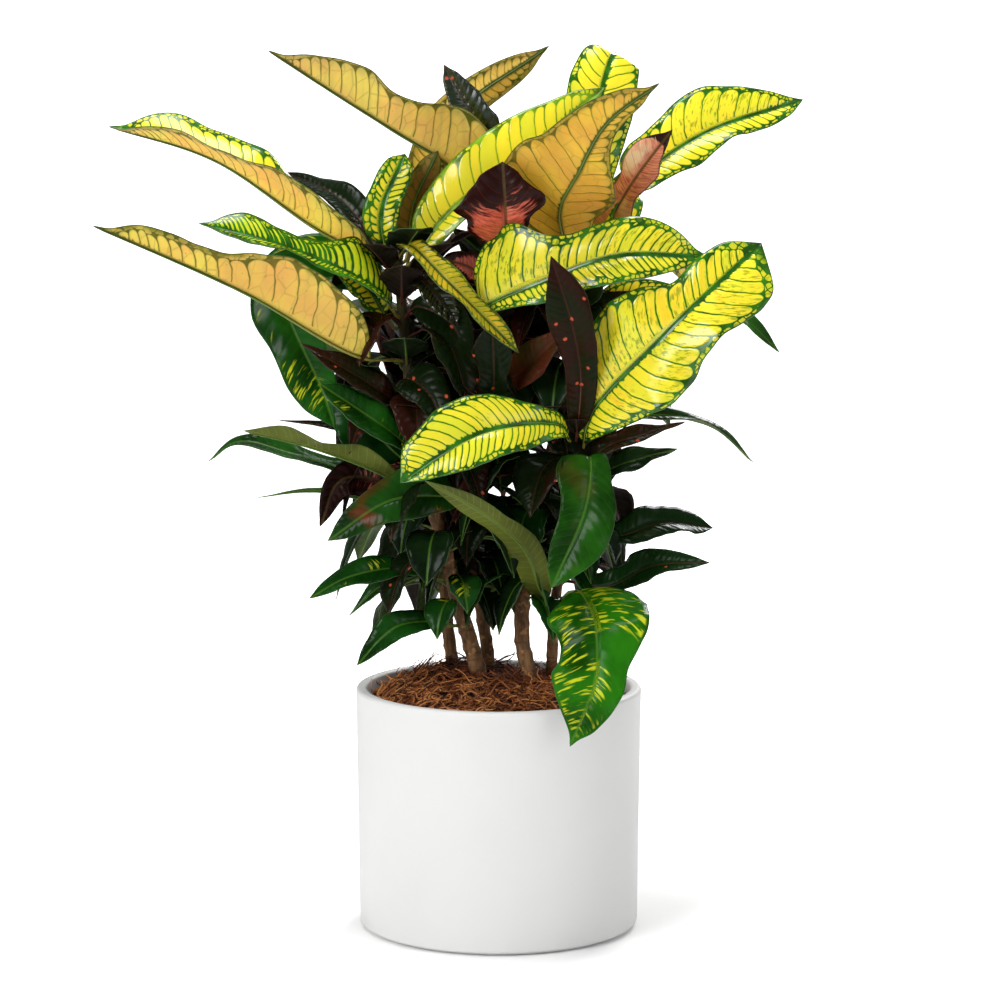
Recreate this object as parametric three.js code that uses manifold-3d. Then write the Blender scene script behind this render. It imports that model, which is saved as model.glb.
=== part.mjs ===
// A potted croton: a round white pot filled with potting mix, a mat of coir fibre over the mix,
// five woody stems and the leaves they carry. Millimetres, +Z up, origin at the centre of the
// pot's underside, -Y is the front.

import * as THREE from "three";
import { mergeVertices } from "three/addons/utils/BufferGeometryUtils.js";
import ManifoldModule from "manifold-3d";

const wasm = await ManifoldModule();
wasm.setup();

const GAP = 0.3;                 // clearance between neighbouring pieces

const POT_HEIGHT = 195;
const POT_TOP_RADIUS = 115;
const POT_BASE_RADIUS = 112.5;
const POT_WALL = 9;
const POT_FLOOR = 12;
const POT_BASE_ROUND = 6;
const POT_FOOT_INSET = 5;
const POT_FOOT_HEIGHT = 2;
const POT_INNER_ROUND = 5;
const POT_SEGMENTS = 64;

const MIX_TOP = 170;             // where the potting mix stops and the coir starts
const MIX_CHAMFER = 6;
const FILLING_SEGMENTS = 48;
const COIR_EDGE = 183;           // coir height at the pot wall
const COIR_MOUND = 15;           // how far the coir heaps up towards the stems
const COIR_BUMP = 2.5;
const COIR_RINGS = 9;

const STEM_SIDES = 12;
const STEM_RINGS = 13;
const STEM_FOOT = 120;           // height the stems start from, inside the mix
const NODE_SWELLING = 0.06;      // share the stem thickens by at each joint
const NODE_SPACING = 60;
const BUD_LENGTH = 5;

const STALK_HALF = 1.5;
const STALK_LENGTH = 16;
const STALK_START = 4;           // the stalk leaves the stem squarely for this far
const STALK_RISE = 1.5;
const FOLD = 15;                 // degrees each half of a blade is raised
const RUFFLE = 2;                // how far the edges wave up and down
const RUFFLE_WAVES = 2.2;
const RIB_ABOVE = 0.35;          // leaf surface above and below its midrib line
const RIB_BELOW = 1.1;
const GROOVE_LEAD = 1.5;         // the groove on top runs a little ahead of the rib below
const BLADE_STATIONS = [0, 0.06, 0.14, 0.23, 0.32, 0.41, 0.5, 0.59, 0.68, 0.77, 0.85, 0.92, 0.97];
const WIDTH_STATIONS = [0, 0.08, 0.2, 0.32, 0.44, 0.56, 0.68, 0.8, 0.92, 1];
const EASE_FEET = [0, 4, -4, 8, -8, 12, -12, 17, -17, 23, -23];
const EASE_DEPTHS = [0, 5, -5, 10, -10, 16, -16, 22, -22, 30, -30, 38, -38, 46, -46, 56, -56, 66, -66];
const EASE_SLOPE = -0.14;        // a leaf moved back also sinks a little
const EASE_MARGIN = 0.5;         // how much thicker a leaf is taken to be while it finds room

const COLOURS = {
  pot: 0xf2f1ee,
  mix: 0x3a2a20,
  coir: 0x8a5530,
  bark: 0x7a6450,
  bright: 0xe8d733,
  olive: 0x9a9a2c,
  green: 0x2f6b24,
  dark: 0x2a2422,
  red: 0x8c3436,
};

const vec = (x, y, z) => new THREE.Vector3(x, y, z);
const UP = vec(0, 0, 1);

// ---------------------------------------------------------------- solids

// A closed loft through rings of equal count, each counter-clockwise seen from the far end.
// The diagonals alternate round the ring, so both faces of a thin leaf are split alike.
function loft(rings, tip) {
  const sides = rings[0].length;
  const points = rings.flat();
  const index = [];
  for (let k = 0; k < rings.length - 1; k += 1) {
    for (let j = 0; j < sides; j += 1) {
      const a = k * sides + j;
      const b = k * sides + ((j + 1) % sides);
      if (j % 2 === 0) {
        index.push(a, b, a + sides, b, b + sides, a + sides);
      } else {
        index.push(a, b, b + sides, a, b + sides, a + sides);
      }
    }
  }
  for (let j = 1; j < sides - 1; j += 1) {
    index.push(0, j + 1, j);
  }
  const last = (rings.length - 1) * sides;
  points.push(tip);
  for (let j = 0; j < sides; j += 1) {
    index.push(last + j, last + ((j + 1) % sides), points.length - 1);
  }
  const geometry = new THREE.BufferGeometry().setFromPoints(points);
  geometry.setIndex(index);
  return geometry;
}

function turned(profile, segments) {
  const outline = profile.map(([radius, height]) => new THREE.Vector2(radius, height));
  return new THREE.LatheGeometry(outline, segments).rotateX(Math.PI / 2);
}

function welded(geometry) {
  const bare = new THREE.BufferGeometry();
  bare.setAttribute("position", geometry.getAttribute("position").clone());
  bare.setIndex(geometry.getIndex());
  const merged = mergeVertices(bare, 1e-3);
  const old = merged.getIndex().array;
  const kept = [];
  for (let i = 0; i < old.length; i += 3) {
    const [a, b, c] = [old[i], old[i + 1], old[i + 2]];
    if (a !== b && b !== c && c !== a) {
      kept.push(a, b, c);
    }
  }
  merged.setIndex(kept);
  return merged;
}

function toManifold(geometry) {
  const source = welded(geometry);
  return new wasm.Manifold(new wasm.Mesh({
    numProp: 3,
    vertProperties: new Float32Array(source.getAttribute("position").array),
    triVerts: new Uint32Array(source.getIndex().array),
  }));
}

function cut(geometry, tools) {
  let body = toManifold(geometry);
  for (const tool of tools) {
    body = body.subtract(toManifold(tool));
  }
  const mesh = body.getMesh();
  const result = new THREE.BufferGeometry();
  result.setAttribute("position", new THREE.BufferAttribute(mesh.vertProperties, 3));
  result.setIndex(new THREE.BufferAttribute(mesh.triVerts, 1));
  return result;
}

function arc(centreR, centreZ, radius, from, to, steps) {
  const points = [];
  for (let i = 0; i <= steps; i += 1) {
    const angle = THREE.MathUtils.degToRad(from + ((to - from) * i) / steps);
    points.push([centreR + radius * Math.cos(angle), centreZ + radius * Math.sin(angle)]);
  }
  return points;
}

// ---------------------------------------------------------------- pot and filling

function potGeometry() {
  const lip = POT_WALL / 2;
  const footRadius = POT_BASE_RADIUS - POT_FOOT_INSET;
  const roundZ = POT_FOOT_HEIGHT + POT_BASE_ROUND;
  const inner = POT_BASE_RADIUS - POT_WALL - POT_INNER_ROUND;
  return turned([
    [0, 0],
    [footRadius, 0],
    [footRadius, POT_FOOT_HEIGHT],
    ...arc(POT_BASE_RADIUS - POT_BASE_ROUND, roundZ, POT_BASE_ROUND, -60, 0, 4),
    ...arc(POT_TOP_RADIUS - lip, POT_HEIGHT - lip, lip, 0, 180, 8),
    ...arc(inner, POT_FLOOR + POT_INNER_ROUND, POT_INNER_ROUND, 0, -90, 3),
    [0, POT_FLOOR],
  ], POT_SEGMENTS);
}

function innerRadius(height) {
  const share = height / POT_HEIGHT;
  return THREE.MathUtils.lerp(POT_BASE_RADIUS, POT_TOP_RADIUS, share) - POT_WALL - 2 * GAP;
}

function mixGeometry() {
  const low = POT_FLOOR + GAP;
  const radius = innerRadius(low);
  return turned([
    [0, low],
    [radius - MIX_CHAMFER, low],
    [radius, low + MIX_CHAMFER],
    [innerRadius(MIX_TOP), MIX_TOP],
    [0, MIX_TOP],
  ], FILLING_SEGMENTS);
}

function coirHeight(x, y) {
  const share = Math.hypot(x + 12, y - 8) / innerRadius(COIR_EDGE);
  const mound = COIR_MOUND * Math.max(0, 1 - share * share);
  const bumps = Math.sin(x * 0.21 + 1.3) * Math.cos(y * 0.17) + Math.sin(x * 0.09 - y * 0.23);
  return COIR_EDGE + mound + (COIR_BUMP / 2) * bumps;
}

function coirGeometry() {
  const low = MIX_TOP + GAP;
  const radius = innerRadius(low);
  const profile = [[0, low], [radius, low]];
  for (let i = 0; i <= COIR_RINGS; i += 1) {
    profile.push([radius * (1 - i / COIR_RINGS), COIR_EDGE]);
  }
  const geometry = turned(profile, FILLING_SEGMENTS);
  const position = geometry.getAttribute("position");
  for (let i = 0; i < position.count; i += 1) {
    if (position.getZ(i) > low + 1) {
      position.setZ(i, coirHeight(position.getX(i), position.getY(i)));
    }
  }
  return geometry;
}

// ---------------------------------------------------------------- stems

const STEMS = {
  left: {
    path: [[-14, 6, 190], [-33, 0, 265], [-46, -5, 318], [-58, -5, 362], [-72, 0, 450], [-80, 0, 540]],
    radii: [7.2, 3.4],
  },
  back_left: {
    path: [[-37, 45, 190], [-43, 50, 250], [-46, 56, 340], [-38, 62, 480]],
    radii: [5.6, 3],
  },
  centre: {
    path: [[-6, 36, 190], [-14, 33, 250], [-20, 30, 320], [-6, 24, 440], [8, 20, 545]],
    radii: [5.4, 3.2],
  },
  right: {
    path: [[27, 8, 190], [18, 8, 241], [25, 10, 300], [40, 16, 370], [60, 25, 460], [72, 30, 550]],
    radii: [6.8, 3.4],
  },
  low_right: {
    path: [[43, 32, 190], [46, 16, 262], [57, -6, 330], [63, -28, 398]],
    radii: [5, 3],
  },
};

function stemCurve({ path }) {
  const [x, y] = path[0];
  return new THREE.CatmullRomCurve3([vec(x, y, STEM_FOOT), ...path.map((p) => vec(...p))]);
}

for (const stem of Object.values(STEMS)) {
  stem.curve = stemCurve(stem);
}

function stemRadius(stem, share) {
  const swelling = 1 + NODE_SWELLING * Math.sin(share * NODE_SPACING) ** 2;
  return THREE.MathUtils.lerp(stem.radii[0], stem.radii[1], share) * swelling;
}

function stemGeometry(stem, extra = 0) {
  const rings = [];
  for (let k = 0; k < STEM_RINGS; k += 1) {
    const share = k / (STEM_RINGS - 1);
    const centre = stem.curve.getPointAt(share);
    const along = stem.curve.getTangentAt(share);
    const east = vec(1, 0, 0).cross(along).cross(along).negate().normalize();
    const north = along.clone().cross(east);
    const radius = stemRadius(stem, share) + extra;
    const ring = [];
    for (let j = 0; j < STEM_SIDES; j += 1) {
      const angle = (2 * Math.PI * j) / STEM_SIDES;
      ring.push(centre.clone()
        .addScaledVector(east, radius * Math.cos(angle))
        .addScaledVector(north, radius * Math.sin(angle)));
    }
    rings.push(ring);
  }
  const tip = stem.curve.getPointAt(1).addScaledVector(stem.curve.getTangentAt(1), BUD_LENGTH);
  return loft(rings, tip);
}

// The place on a stem at a given height: centre, direction and radius.
function stemAt(stem, height) {
  let low = 0;
  let high = 1;
  for (let i = 0; i < 30; i += 1) {
    const middle = (low + high) / 2;
    if (stem.curve.getPointAt(middle).z < height) {
      low = middle;
    } else {
      high = middle;
    }
  }
  return {
    centre: stem.curve.getPointAt(low),
    along: stem.curve.getTangentAt(low),
    radius: stemRadius(stem, low),
  };
}

// ---------------------------------------------------------------- leaves

// Half widths as shares of the widest, at the inner width stations.
const OVAL = [0.45, 0.78, 0.95, 1, 0.95, 0.8, 0.58, 0.28];
const STRAP = [0.45, 0.75, 0.9, 1, 0.98, 0.92, 0.78, 0.42];
const LANCE = [0.5, 0.85, 1, 0.98, 0.86, 0.66, 0.42, 0.18];
const FIDDLE = [0.5, 0.85, 1, 0.9, 0.65, 0.7, 0.82, 0.48];

function leafFrames(row, foot, outward) {
  const first = foot.clone().addScaledVector(outward, STALK_START).addScaledVector(UP, STALK_RISE);
  const curve = new THREE.CatmullRomCurve3([foot, first, ...row.spine], false, "centripetal");
  curve.arcLengthDivisions = 120;
  const length = curve.getLength();
  const stalk = row.stalk ?? STALK_LENGTH;
  const stops = [0, STALK_START, stalk * 0.6].map((d) => [d / length, 0]);
  for (const s of BLADE_STATIONS) {
    stops.push([(stalk + (length - stalk) * s) / length, s]);
  }
  const frames = stops.map(([t, s]) => ({
    s,
    point: curve.getPointAt(t),
    along: t === 0 ? outward.clone() : curve.getTangentAt(t),
  }));
  const flat = (normal, along) => normal.clone().addScaledVector(along, -normal.dot(along)).normalize();
  const middle = Math.floor(frames.length / 2);
  frames[middle].normal = flat(vec(...row.faces), frames[middle].along);
  for (let k = middle + 1; k < frames.length; k += 1) {
    frames[k].normal = flat(frames[k - 1].normal, frames[k].along);
  }
  for (let k = middle - 1; k >= 0; k -= 1) {
    frames[k].normal = flat(frames[k + 1].normal, frames[k].along);
  }
  for (const frame of frames) {
    const turn = THREE.MathUtils.degToRad((row.twist ?? 0) * (frame.s - 0.5));
    const level = frame.along.clone().cross(frame.normal);
    frame.normal = frame.normal.clone().multiplyScalar(Math.cos(turn))
      .addScaledVector(level, Math.sin(turn));
    frame.across = frame.along.clone().cross(frame.normal);
  }
  return { frames, tip: curve.getPointAt(1) };
}

function widthCurve(widths) {
  const values = [STALK_HALF, ...widths, 0];
  const curve = new THREE.CubicInterpolant(
    new Float32Array(WIDTH_STATIONS), new Float32Array(values), 1, new Float32Array(1));
  return (s) => Math.max(STALK_HALF * (1 - s), curve.evaluate(s)[0]);
}

function leafGeometry(row, extra = 0) {
  const at = stemAt(STEMS[row.on], row.up);
  const outward = row.spine[0].clone().sub(at.centre);
  outward.addScaledVector(at.along, -outward.dot(at.along)).normalize();
  const foot = at.centre.clone().addScaledVector(outward, at.radius + GAP);
  const { frames, tip } = leafFrames(row, foot, outward);
  const leftWidth = widthCurve(row.left);
  const rightWidth = widthCurve(row.right);
  const rings = frames.map(({ s, point, along, normal, across }, k) => {
    const fold = THREE.MathUtils.degToRad(s > 0 ? row.fold ?? FOLD : 0);
    const ruffle = (row.ruffle ?? RUFFLE) * Math.sin(Math.PI * s);
    const waves = RUFFLE_WAVES * 2 * Math.PI * s + row.up;
    const thin = 1 - 0.6 * s;
    const edge = (side, width, lift) => point.clone()
      .addScaledVector(across, side * Math.cos(fold) * (width + extra))
      .addScaledVector(normal, Math.sin(fold) * width + lift);
    const lead = k > 0 ? GROOVE_LEAD / 2 : 0;
    const top = point.clone().addScaledVector(normal, RIB_ABOVE * thin + extra)
      .addScaledVector(along, lead);
    const below = point.clone().addScaledVector(normal, -RIB_BELOW * thin - extra)
      .addScaledVector(along, -lead);
    return [
      top,
      edge(1, rightWidth(s), ruffle * Math.sin(waves)),
      below,
      edge(-1, leftWidth(s), ruffle * Math.cos(waves + 1)),
    ];
  });
  return loft(rings, tip);
}

// Every leaf: its finish, the stem it grows on and the height of its joint there, the points its
// midrib bends through up to the tip, where the upper side faces halfway along, and the half
// widths on its left and right seen from above with the tip pointing away.
const LEAVES = {
  top_orange: {
    finish: "bright", on: "centre", up: 536, fold: 48,
    spine: [[-35, 28, 606], [-79, -2, 638], [-121, -34, 666], [-177, -66, 704]],
    faces: [0, 0.45, 1],
    left: [25, 38, 44, 38, 26, 30, 24, 12], right: [20, 26, 28, 26, 20, 20, 16, 9],
  },
  back_orange: {
    finish: "bright", on: "left", up: 528, fold: 10,
    spine: [[-45, 60, 639], [41, 125, 705]],
    faces: [-0.3, 1, 0.2],
    left: [13, 18, 20, 18, 16, 15, 13, 7], right: [13, 17, 18, 18, 17, 16, 13, 7],
  },
  young_dark: {
    finish: "dark", on: "centre", up: 542, stalk: 70, fold: 12,
    spine: [[0, 26, 610], [-44, 24, 694]],
    faces: [-0.2, -1, 0.3],
    left: [8, 13, 16, 16, 15, 13, 10, 5], right: [8, 13, 15, 16, 15, 13, 10, 5],
  },
  long_bright: {
    finish: "bright", on: "left", up: 532, fold: 12,
    spine: [[-42, 0, 573], [26, 7, 627], [84, 20, 674]],
    faces: [-0.25, -1, 0.3],
    left: [17, 25, 30, 32, 31, 27, 20, 11], right: [12, 15, 17, 18, 18, 17, 14, 9],
  },
  broad_orange: {
    finish: "bright", on: "right", up: 545, fold: 8, ruffle: 1.5,
    spine: [[48, -3, 584], [62, -33, 618], [83, -49, 655], [122, -58, 684]],
    faces: [0, 1, 0.1],
    left: [20, 27, 35, 37, 24, 14, 10, 6], right: [20, 40, 56, 54, 39, 30, 20, 9],
  },
  maroon: {
    finish: "red", on: "centre", up: 538, stalk: 34, fold: 8,
    spine: [[6, -28, 560], [5, -45, 588], [3, -48, 618]],
    faces: [0, -1, 0.2],
    left: [12, 22, 35, 39, 38, 33, 28, 15], right: [6, 10, 18, 26, 30, 30, 20, 10],
  },
  coral: {
    finish: "red", on: "right", up: 549, fold: 12,
    spine: [[92, 8, 576], [110, -14, 607], [136, -26, 642]],
    faces: [-0.2, -1, 0.1],
    left: [18, 17, 14, 13, 15, 17, 16, 7], right: [14, 16, 14, 11, 13, 15, 8, 4],
  },
  wide_centre: {
    finish: "bright", on: "centre", up: 488, stalk: 44, fold: 10,
    spine: [[-12, -28, 503], [34, -55, 527], [92, -68, 548], [160, -64, 547]],
    faces: [-0.1, -1, 0.45],
    left: [34, 50, 51, 30, 28, 31, 27, 15], right: [7, 12, 18, 20, 23, 23, 19, 10],
  },
  dark_upright: {
    finish: "dark", on: "low_right", up: 396, fold: 14,
    spine: [[64, -64, 450], [57, -84, 493], [40, -96, 548]],
    faces: [-0.1, -1, 0.1],
    left: [8, 11, 12, 12, 17, 18, 14, 6], right: [8, 12, 14, 15, 17, 19, 17, 9],
  },
  big_right: {
    finish: "bright", on: "low_right", up: 388, fold: 6, ruffle: 2.5,
    spine: [[72, -54, 420], [129, -90, 488], [203, -84, 558]],
    faces: [-0.2, -1, 0.3],
    left: [17, 33, 43, 49, 44, 26, 26, 19], right: [17, 29, 39, 47, 38, 36, 39, 33],
  },
  top_right: {
    finish: "bright", on: "right", up: 541, stalk: 60, fold: 10,
    spine: [[114, 30, 600], [162, 42, 635], [246, 70, 663]],
    faces: [-0.2, -0.9, 0.5],
    left: [25, 26, 30, 36, 37, 31, 21, 9], right: [14, 18, 23, 22, 17, 17, 15, 10],
  },
  top_centre: {
    finish: "bright", on: "right", up: 551, fold: -5,
    spine: [[76, 38, 636], [85, 44, 680], [92, 58, 699], [97, 82, 700]],
    faces: [0, -1, 0.2],
    left: [15, 20, 24, 27, 28, 28, 25, 17], right: [15, 20, 24, 27, 28, 28, 25, 17],
  },
  long_left: {
    finish: "bright", on: "left", up: 535, fold: 38, twist: -50,
    spine: [[-138, -6, 560], [-225, 18, 616], [-313, 50, 642]],
    faces: [0, 0.1, 1],
    left: [20, 30, 32, 30, 26, 24, 22, 12], right: [18, 28, 34, 34, 32, 32, 32, 16],
  },
  low_orange: {
    finish: "bright", on: "left", up: 458, stalk: 34, fold: 42,
    spine: [[-111, -32, 465], [-198, -66, 518], [-311, -90, 571]],
    faces: [0, 0.5, 1],
    left: [28, 40, 44, 42, 25, 22, 19, 10], right: [14, 20, 24, 22, 18, 16, 14, 8],
  },
  left_dashed: {
    finish: "bright", on: "left", up: 497, fold: 14,
    spine: [[-95, -28, 519], [-157, -50, 551], [-233, -55, 573]],
    faces: [0, -0.6, 1],
    left: [14, 16, 14, 12, 12, 13, 13, 7], right: [24, 34, 34, 20, 16, 20, 22, 12],
  },
  upright_yellow: {
    finish: "bright", on: "left", up: 541,
    spine: [[-93, -6, 572], [-74, 4, 622]],
    faces: [-0.1, -1, 0.2],
    left: [10, 14, 15, 15, 15, 14, 13, 9], right: [10, 14, 15, 15, 15, 14, 13, 9],
  },
  upright_tan: {
    finish: "bright", on: "left", up: 543,
    spine: [[-68, 16, 584], [-48, 14, 628]],
    faces: [0, 1, 0.2],
    left: [9, 13, 14, 14, 13, 12, 10, 6], right: [9, 13, 14, 14, 13, 12, 10, 6],
  },
  dark_back_left: {
    finish: "dark", on: "left", up: 522,
    spine: [[-122, 50, 580], [-176, 105, 603]],
    faces: [0, -0.6, 1],
    left: [9, 13, 15, 15, 14, 12, 9, 5], right: [9, 13, 15, 15, 14, 12, 9, 5],
  },
  big_green_side: {
    finish: "green", on: "left", up: 500, fold: 10,
    spine: [
      [-126, 26, 522], [-154, 21, 516], [-167, 16, 494],
      [-156, 10, 466], [-142, 4, 436], [-131, 0, 404],
    ],
    faces: [-0.4, -1, 0.1],
    left: [6, 12, 18, 24, 24, 20, 16, 9], right: [14, 31, 38, 38, 27, 25, 24, 15],
  },
  inner_netted: {
    finish: "bright", on: "left", up: 476,
    spine: [[-104, 2, 512], [-132, -6, 532]],
    faces: [0, -1, 0.6],
    left: [9, 13, 15, 15, 14, 12, 9, 5], right: [9, 13, 15, 15, 14, 12, 9, 5],
  },
  arching_olive: {
    finish: "olive", on: "left", up: 540, fold: 20,
    spine: [[-70, -32, 552], [-38, -50, 523], [16, -62, 470]],
    faces: [0.4, -0.7, 0.6],
    left: [9, 11, 12, 12, 12, 11, 10, 6], right: [9, 11, 12, 12, 12, 11, 10, 6],
  },
  bronze: {
    finish: "dark", on: "centre", up: 436,
    spine: [[18, -22, 452], [54, -48, 488]],
    faces: [-0.2, -1, 0.3], shape: OVAL, half: 16,
  },
  dark_wedge: {
    finish: "dark", on: "centre", up: 405,
    spine: [[-4, -34, 440], [-5, -56, 496]],
    faces: [0, -1, 0.2], shape: FIDDLE, half: 20,
  },
  red_blotched: {
    finish: "red", on: "centre", up: 512,
    spine: [[-22, -2, 532], [-44, -18, 540]],
    faces: [0, -1, 0.5], shape: OVAL, half: 14,
  },
  striped_dark: {
    finish: "dark", on: "left", up: 512,
    spine: [[-62, -24, 524], [-32, -34, 490]],
    faces: [0.3, -0.8, 0.5], shape: STRAP, half: 13,
  },
  brown_left: {
    finish: "dark", on: "left", up: 420,
    spine: [[-95, -25, 438], [-156, -20, 474]],
    faces: [0, -0.8, 1], shape: LANCE, half: 15,
  },
  streaked_left: {
    finish: "green", on: "left", up: 402, fold: 10,
    spine: [[-85, -36, 414], [-140, -42, 452]],
    faces: [0, -0.8, 0.8], shape: STRAP, half: 16,
  },
  wide_dark_left: {
    finish: "green", on: "left", up: 366,
    spine: [[-84, -20, 384], [-131, -16, 436]],
    faces: [-0.3, -1, 0.3], shape: OVAL, half: 27,
  },
  long_olive_left: {
    finish: "green", on: "left", up: 356, fold: 30,
    spine: [[-85, -18, 368], [-141, -50, 395], [-198, -75, 413]],
    faces: [0, 0.4, 1], shape: FIDDLE, half: 16,
  },
  flat_green_left: {
    finish: "green", on: "left", up: 344,
    spine: [[-104, 12, 362], [-162, 36, 377], [-212, 50, 387], [-237, 57, 370]],
    faces: [0, -0.5, 1], shape: STRAP, half: 11,
  },
  hanging_maroon: {
    finish: "red", on: "left", up: 336,
    spine: [[-94, -6, 362], [-126, -20, 364], [-142, -27, 328]],
    faces: [-0.4, -1, 0.2], shape: OVAL, half: 16,
  },
  red_flushed: {
    finish: "green", on: "centre", up: 343, stalk: 40, fold: 8,
    spine: [[-38, -22, 352], [-85, -45, 352], [-135, -48, 320]],
    faces: [0, -1, 0.4],
    left: [10, 14, 18, 20, 18, 14, 11, 6], right: [14, 24, 26, 22, 17, 14, 11, 6],
  },
  bright_low: {
    finish: "bright", on: "low_right", up: 394, fold: 8,
    spine: [[47, -62, 414], [-16, -96, 411], [-76, -100, 373]],
    faces: [0.1, -1, 0.5],
    left: [9, 14, 20, 25, 25, 24, 17, 8], right: [8, 11, 17, 26, 31, 31, 25, 20],
  },
  hanging_olive: {
    finish: "green", on: "low_right", up: 258, fold: 6,
    spine: [[33, -15, 276], [20, -45, 313], [-9, -70, 343], [-57, -90, 374]],
    faces: [0.1, 1, 0.1],
    left: [9, 12, 13, 13, 11, 10, 8, 4], right: [9, 12, 13, 13, 11, 10, 8, 4],
  },
  glossy_hanging: {
    finish: "green", on: "low_right", up: 376, fold: 8,
    spine: [[72, -56, 388], [68, -80, 352], [41, -95, 290]],
    faces: [0, -1, 0.2],
    left: [8, 14, 17, 22, 27, 26, 20, 10], right: [14, 24, 28, 22, 18, 17, 14, 8],
  },
  front_drooping: {
    finish: "green", on: "low_right", up: 264, stalk: 58, fold: 4, ruffle: 1.5,
    spine: [[62, -40, 280], [73, -80, 268], [76, -108, 252], [74, -122, 222], [55, -126, 171]],
    faces: [0, -1, 0.2],
    left: [20, 40, 44, 40, 27, 25, 19, 11], right: [14, 30, 38, 29, 29, 34, 25, 8],
  },
  dark_right: {
    finish: "dark", on: "low_right", up: 326,
    spine: [[92, 4, 316], [132, 24, 324], [175, 50, 316]],
    faces: [0, -0.8, 0.8], shape: STRAP, half: 17,
  },
  dark_low_right: {
    finish: "dark", on: "low_right", up: 280,
    spine: [[88, -18, 279], [122, -40, 299], [166, -55, 304]],
    faces: [0, -0.8, 0.8], shape: OVAL, half: 16,
  },
  grey_right: {
    finish: "green", on: "low_right", up: 356,
    spine: [[92, -12, 374], [143, -5, 388]],
    faces: [0, -0.8, 0.8], shape: LANCE, half: 12,
  },
  long_thin_right: {
    finish: "green", on: "low_right", up: 383,
    spine: [[105, 4, 412], [171, 36, 402], [208, 60, 369]],
    faces: [0, -0.5, 1], shape: STRAP, half: 9,
  },
  brown_right: {
    finish: "dark", on: "low_right", up: 368,
    spine: [[82, -40, 392], [148, -24, 412]],
    faces: [0, -0.7, 0.8], shape: LANCE, half: 10,
  },
  behind_right: {
    finish: "green", on: "right", up: 470,
    spine: [[130, 48, 497], [192, 76, 490], [231, 90, 456]],
    faces: [0, -0.8, 0.6], shape: STRAP, half: 12,
  },
  lower_left_flecked: {
    finish: "green", on: "left", up: 284,
    spine: [[-74, -16, 293], [-117, -36, 290], [-150, -48, 274]],
    faces: [0, -0.9, 0.8], shape: OVAL, half: 13,
  },
  low_glossy: {
    finish: "dark", on: "left", up: 246,
    spine: [[-54, -16, 250], [-83, -28, 247], [-113, -36, 218]],
    faces: [0, -0.9, 0.7], shape: OVAL, half: 13,
  },
  rear_bright: {
    finish: "bright", on: "right", up: 531,
    spine: [[84, 90, 580], [70, 150, 588], [50, 200, 560]],
    faces: [0.1, 0.5, 1], shape: FIDDLE, half: 36,
  },
  rear_orange: {
    finish: "bright", on: "centre", up: 528, fold: 25,
    spine: [[-20, 90, 575], [-50, 150, 590], [-80, 205, 580]],
    faces: [0, 0.3, 1], shape: FIDDLE, half: 34,
  },
  rear_green: {
    finish: "green", on: "back_left", up: 474,
    spine: [[-90, 110, 490], [-120, 160, 470], [-130, 190, 420]],
    faces: [-0.2, 0.6, 1], shape: FIDDLE, half: 30,
  },
  rear_dark: {
    finish: "dark", on: "back_left", up: 440,
    spine: [[-10, 120, 460], [10, 165, 450], [20, 200, 410]],
    faces: [0, 0.6, 1], shape: STRAP, half: 24,
  },
  rear_right_bright: {
    finish: "bright", on: "right", up: 508,
    spine: [[120, 90, 535], [150, 130, 528], [170, 160, 500]],
    faces: [0.4, 0.6, 1], shape: FIDDLE, half: 34,
  },
  rear_right_green: {
    finish: "green", on: "right", up: 412,
    spine: [[90, 90, 430], [125, 140, 418], [145, 165, 385]],
    faces: [0.3, 0.6, 1], shape: OVAL, half: 26,
  },
  rear_low_green: {
    finish: "green", on: "back_left", up: 318,
    spine: [[-80, 110, 325], [-105, 145, 305], [-120, 165, 270]],
    faces: [-0.2, 0.6, 1], shape: OVAL, half: 22,
  },
  rear_low_dark: {
    finish: "dark", on: "right", up: 322,
    spine: [[48, 75, 335], [60, 120, 320], [65, 150, 285]],
    faces: [0.1, 0.6, 1], shape: STRAP, half: 19,
  },
};

// A leaf row with its widths filled in, moved aside by a change of foot height and of depth.
function easedRow(row, foot, depth) {
  const spine = row.spine.map((point, k) => {
    const share = (k + 1) / row.spine.length;
    return vec(...point).add(vec(0, depth * share, EASE_SLOPE * depth * share + foot / 2));
  });
  return {
    ...row,
    spine,
    up: row.up + foot,
    left: row.left ?? row.shape.map((share) => share * row.half),
    right: row.right ?? row.shape.map((share) => share * row.half * 0.95),
  };
}

// ---------------------------------------------------------------- finding room

function skin(geometry) {
  const position = geometry.getAttribute("position");
  const index = geometry.getIndex();
  const triangles = [];
  const box = new THREE.Box3();
  for (let i = 0; i < index.count; i += 3) {
    const corners = [0, 1, 2].map((c) => vec().fromBufferAttribute(position, index.getX(i + c)));
    const bounds = new THREE.Box3().setFromPoints(corners);
    triangles.push({ corners, bounds });
    box.union(bounds);
  }
  return { box, triangles };
}

const ray = new THREE.Ray();
const hit = vec();

function edgesPierce(from, into) {
  for (let e = 0; e < 3; e += 1) {
    const start = from.corners[e];
    const end = from.corners[(e + 1) % 3];
    const reach = start.distanceTo(end);
    ray.origin.copy(start);
    ray.direction.copy(end).sub(start).divideScalar(reach);
    const [a, b, c] = into.corners;
    if (ray.intersectTriangle(a, b, c, false, hit) && hit.distanceTo(start) <= reach) {
      return true;
    }
  }
  return false;
}

function skinsCross(one, other) {
  if (!one.box.intersectsBox(other.box)) {
    return false;
  }
  const shared = one.box.clone().intersect(other.box);
  const near = other.triangles.filter((t) => t.bounds.intersectsBox(shared));
  for (const first of one.triangles) {
    if (first.bounds.intersectsBox(shared)) {
      for (const second of near) {
        if (first.bounds.intersectsBox(second.bounds)
          && (edgesPierce(first, second) || edgesPierce(second, first))) {
          return true;
        }
      }
    }
  }
  return false;
}

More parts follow.
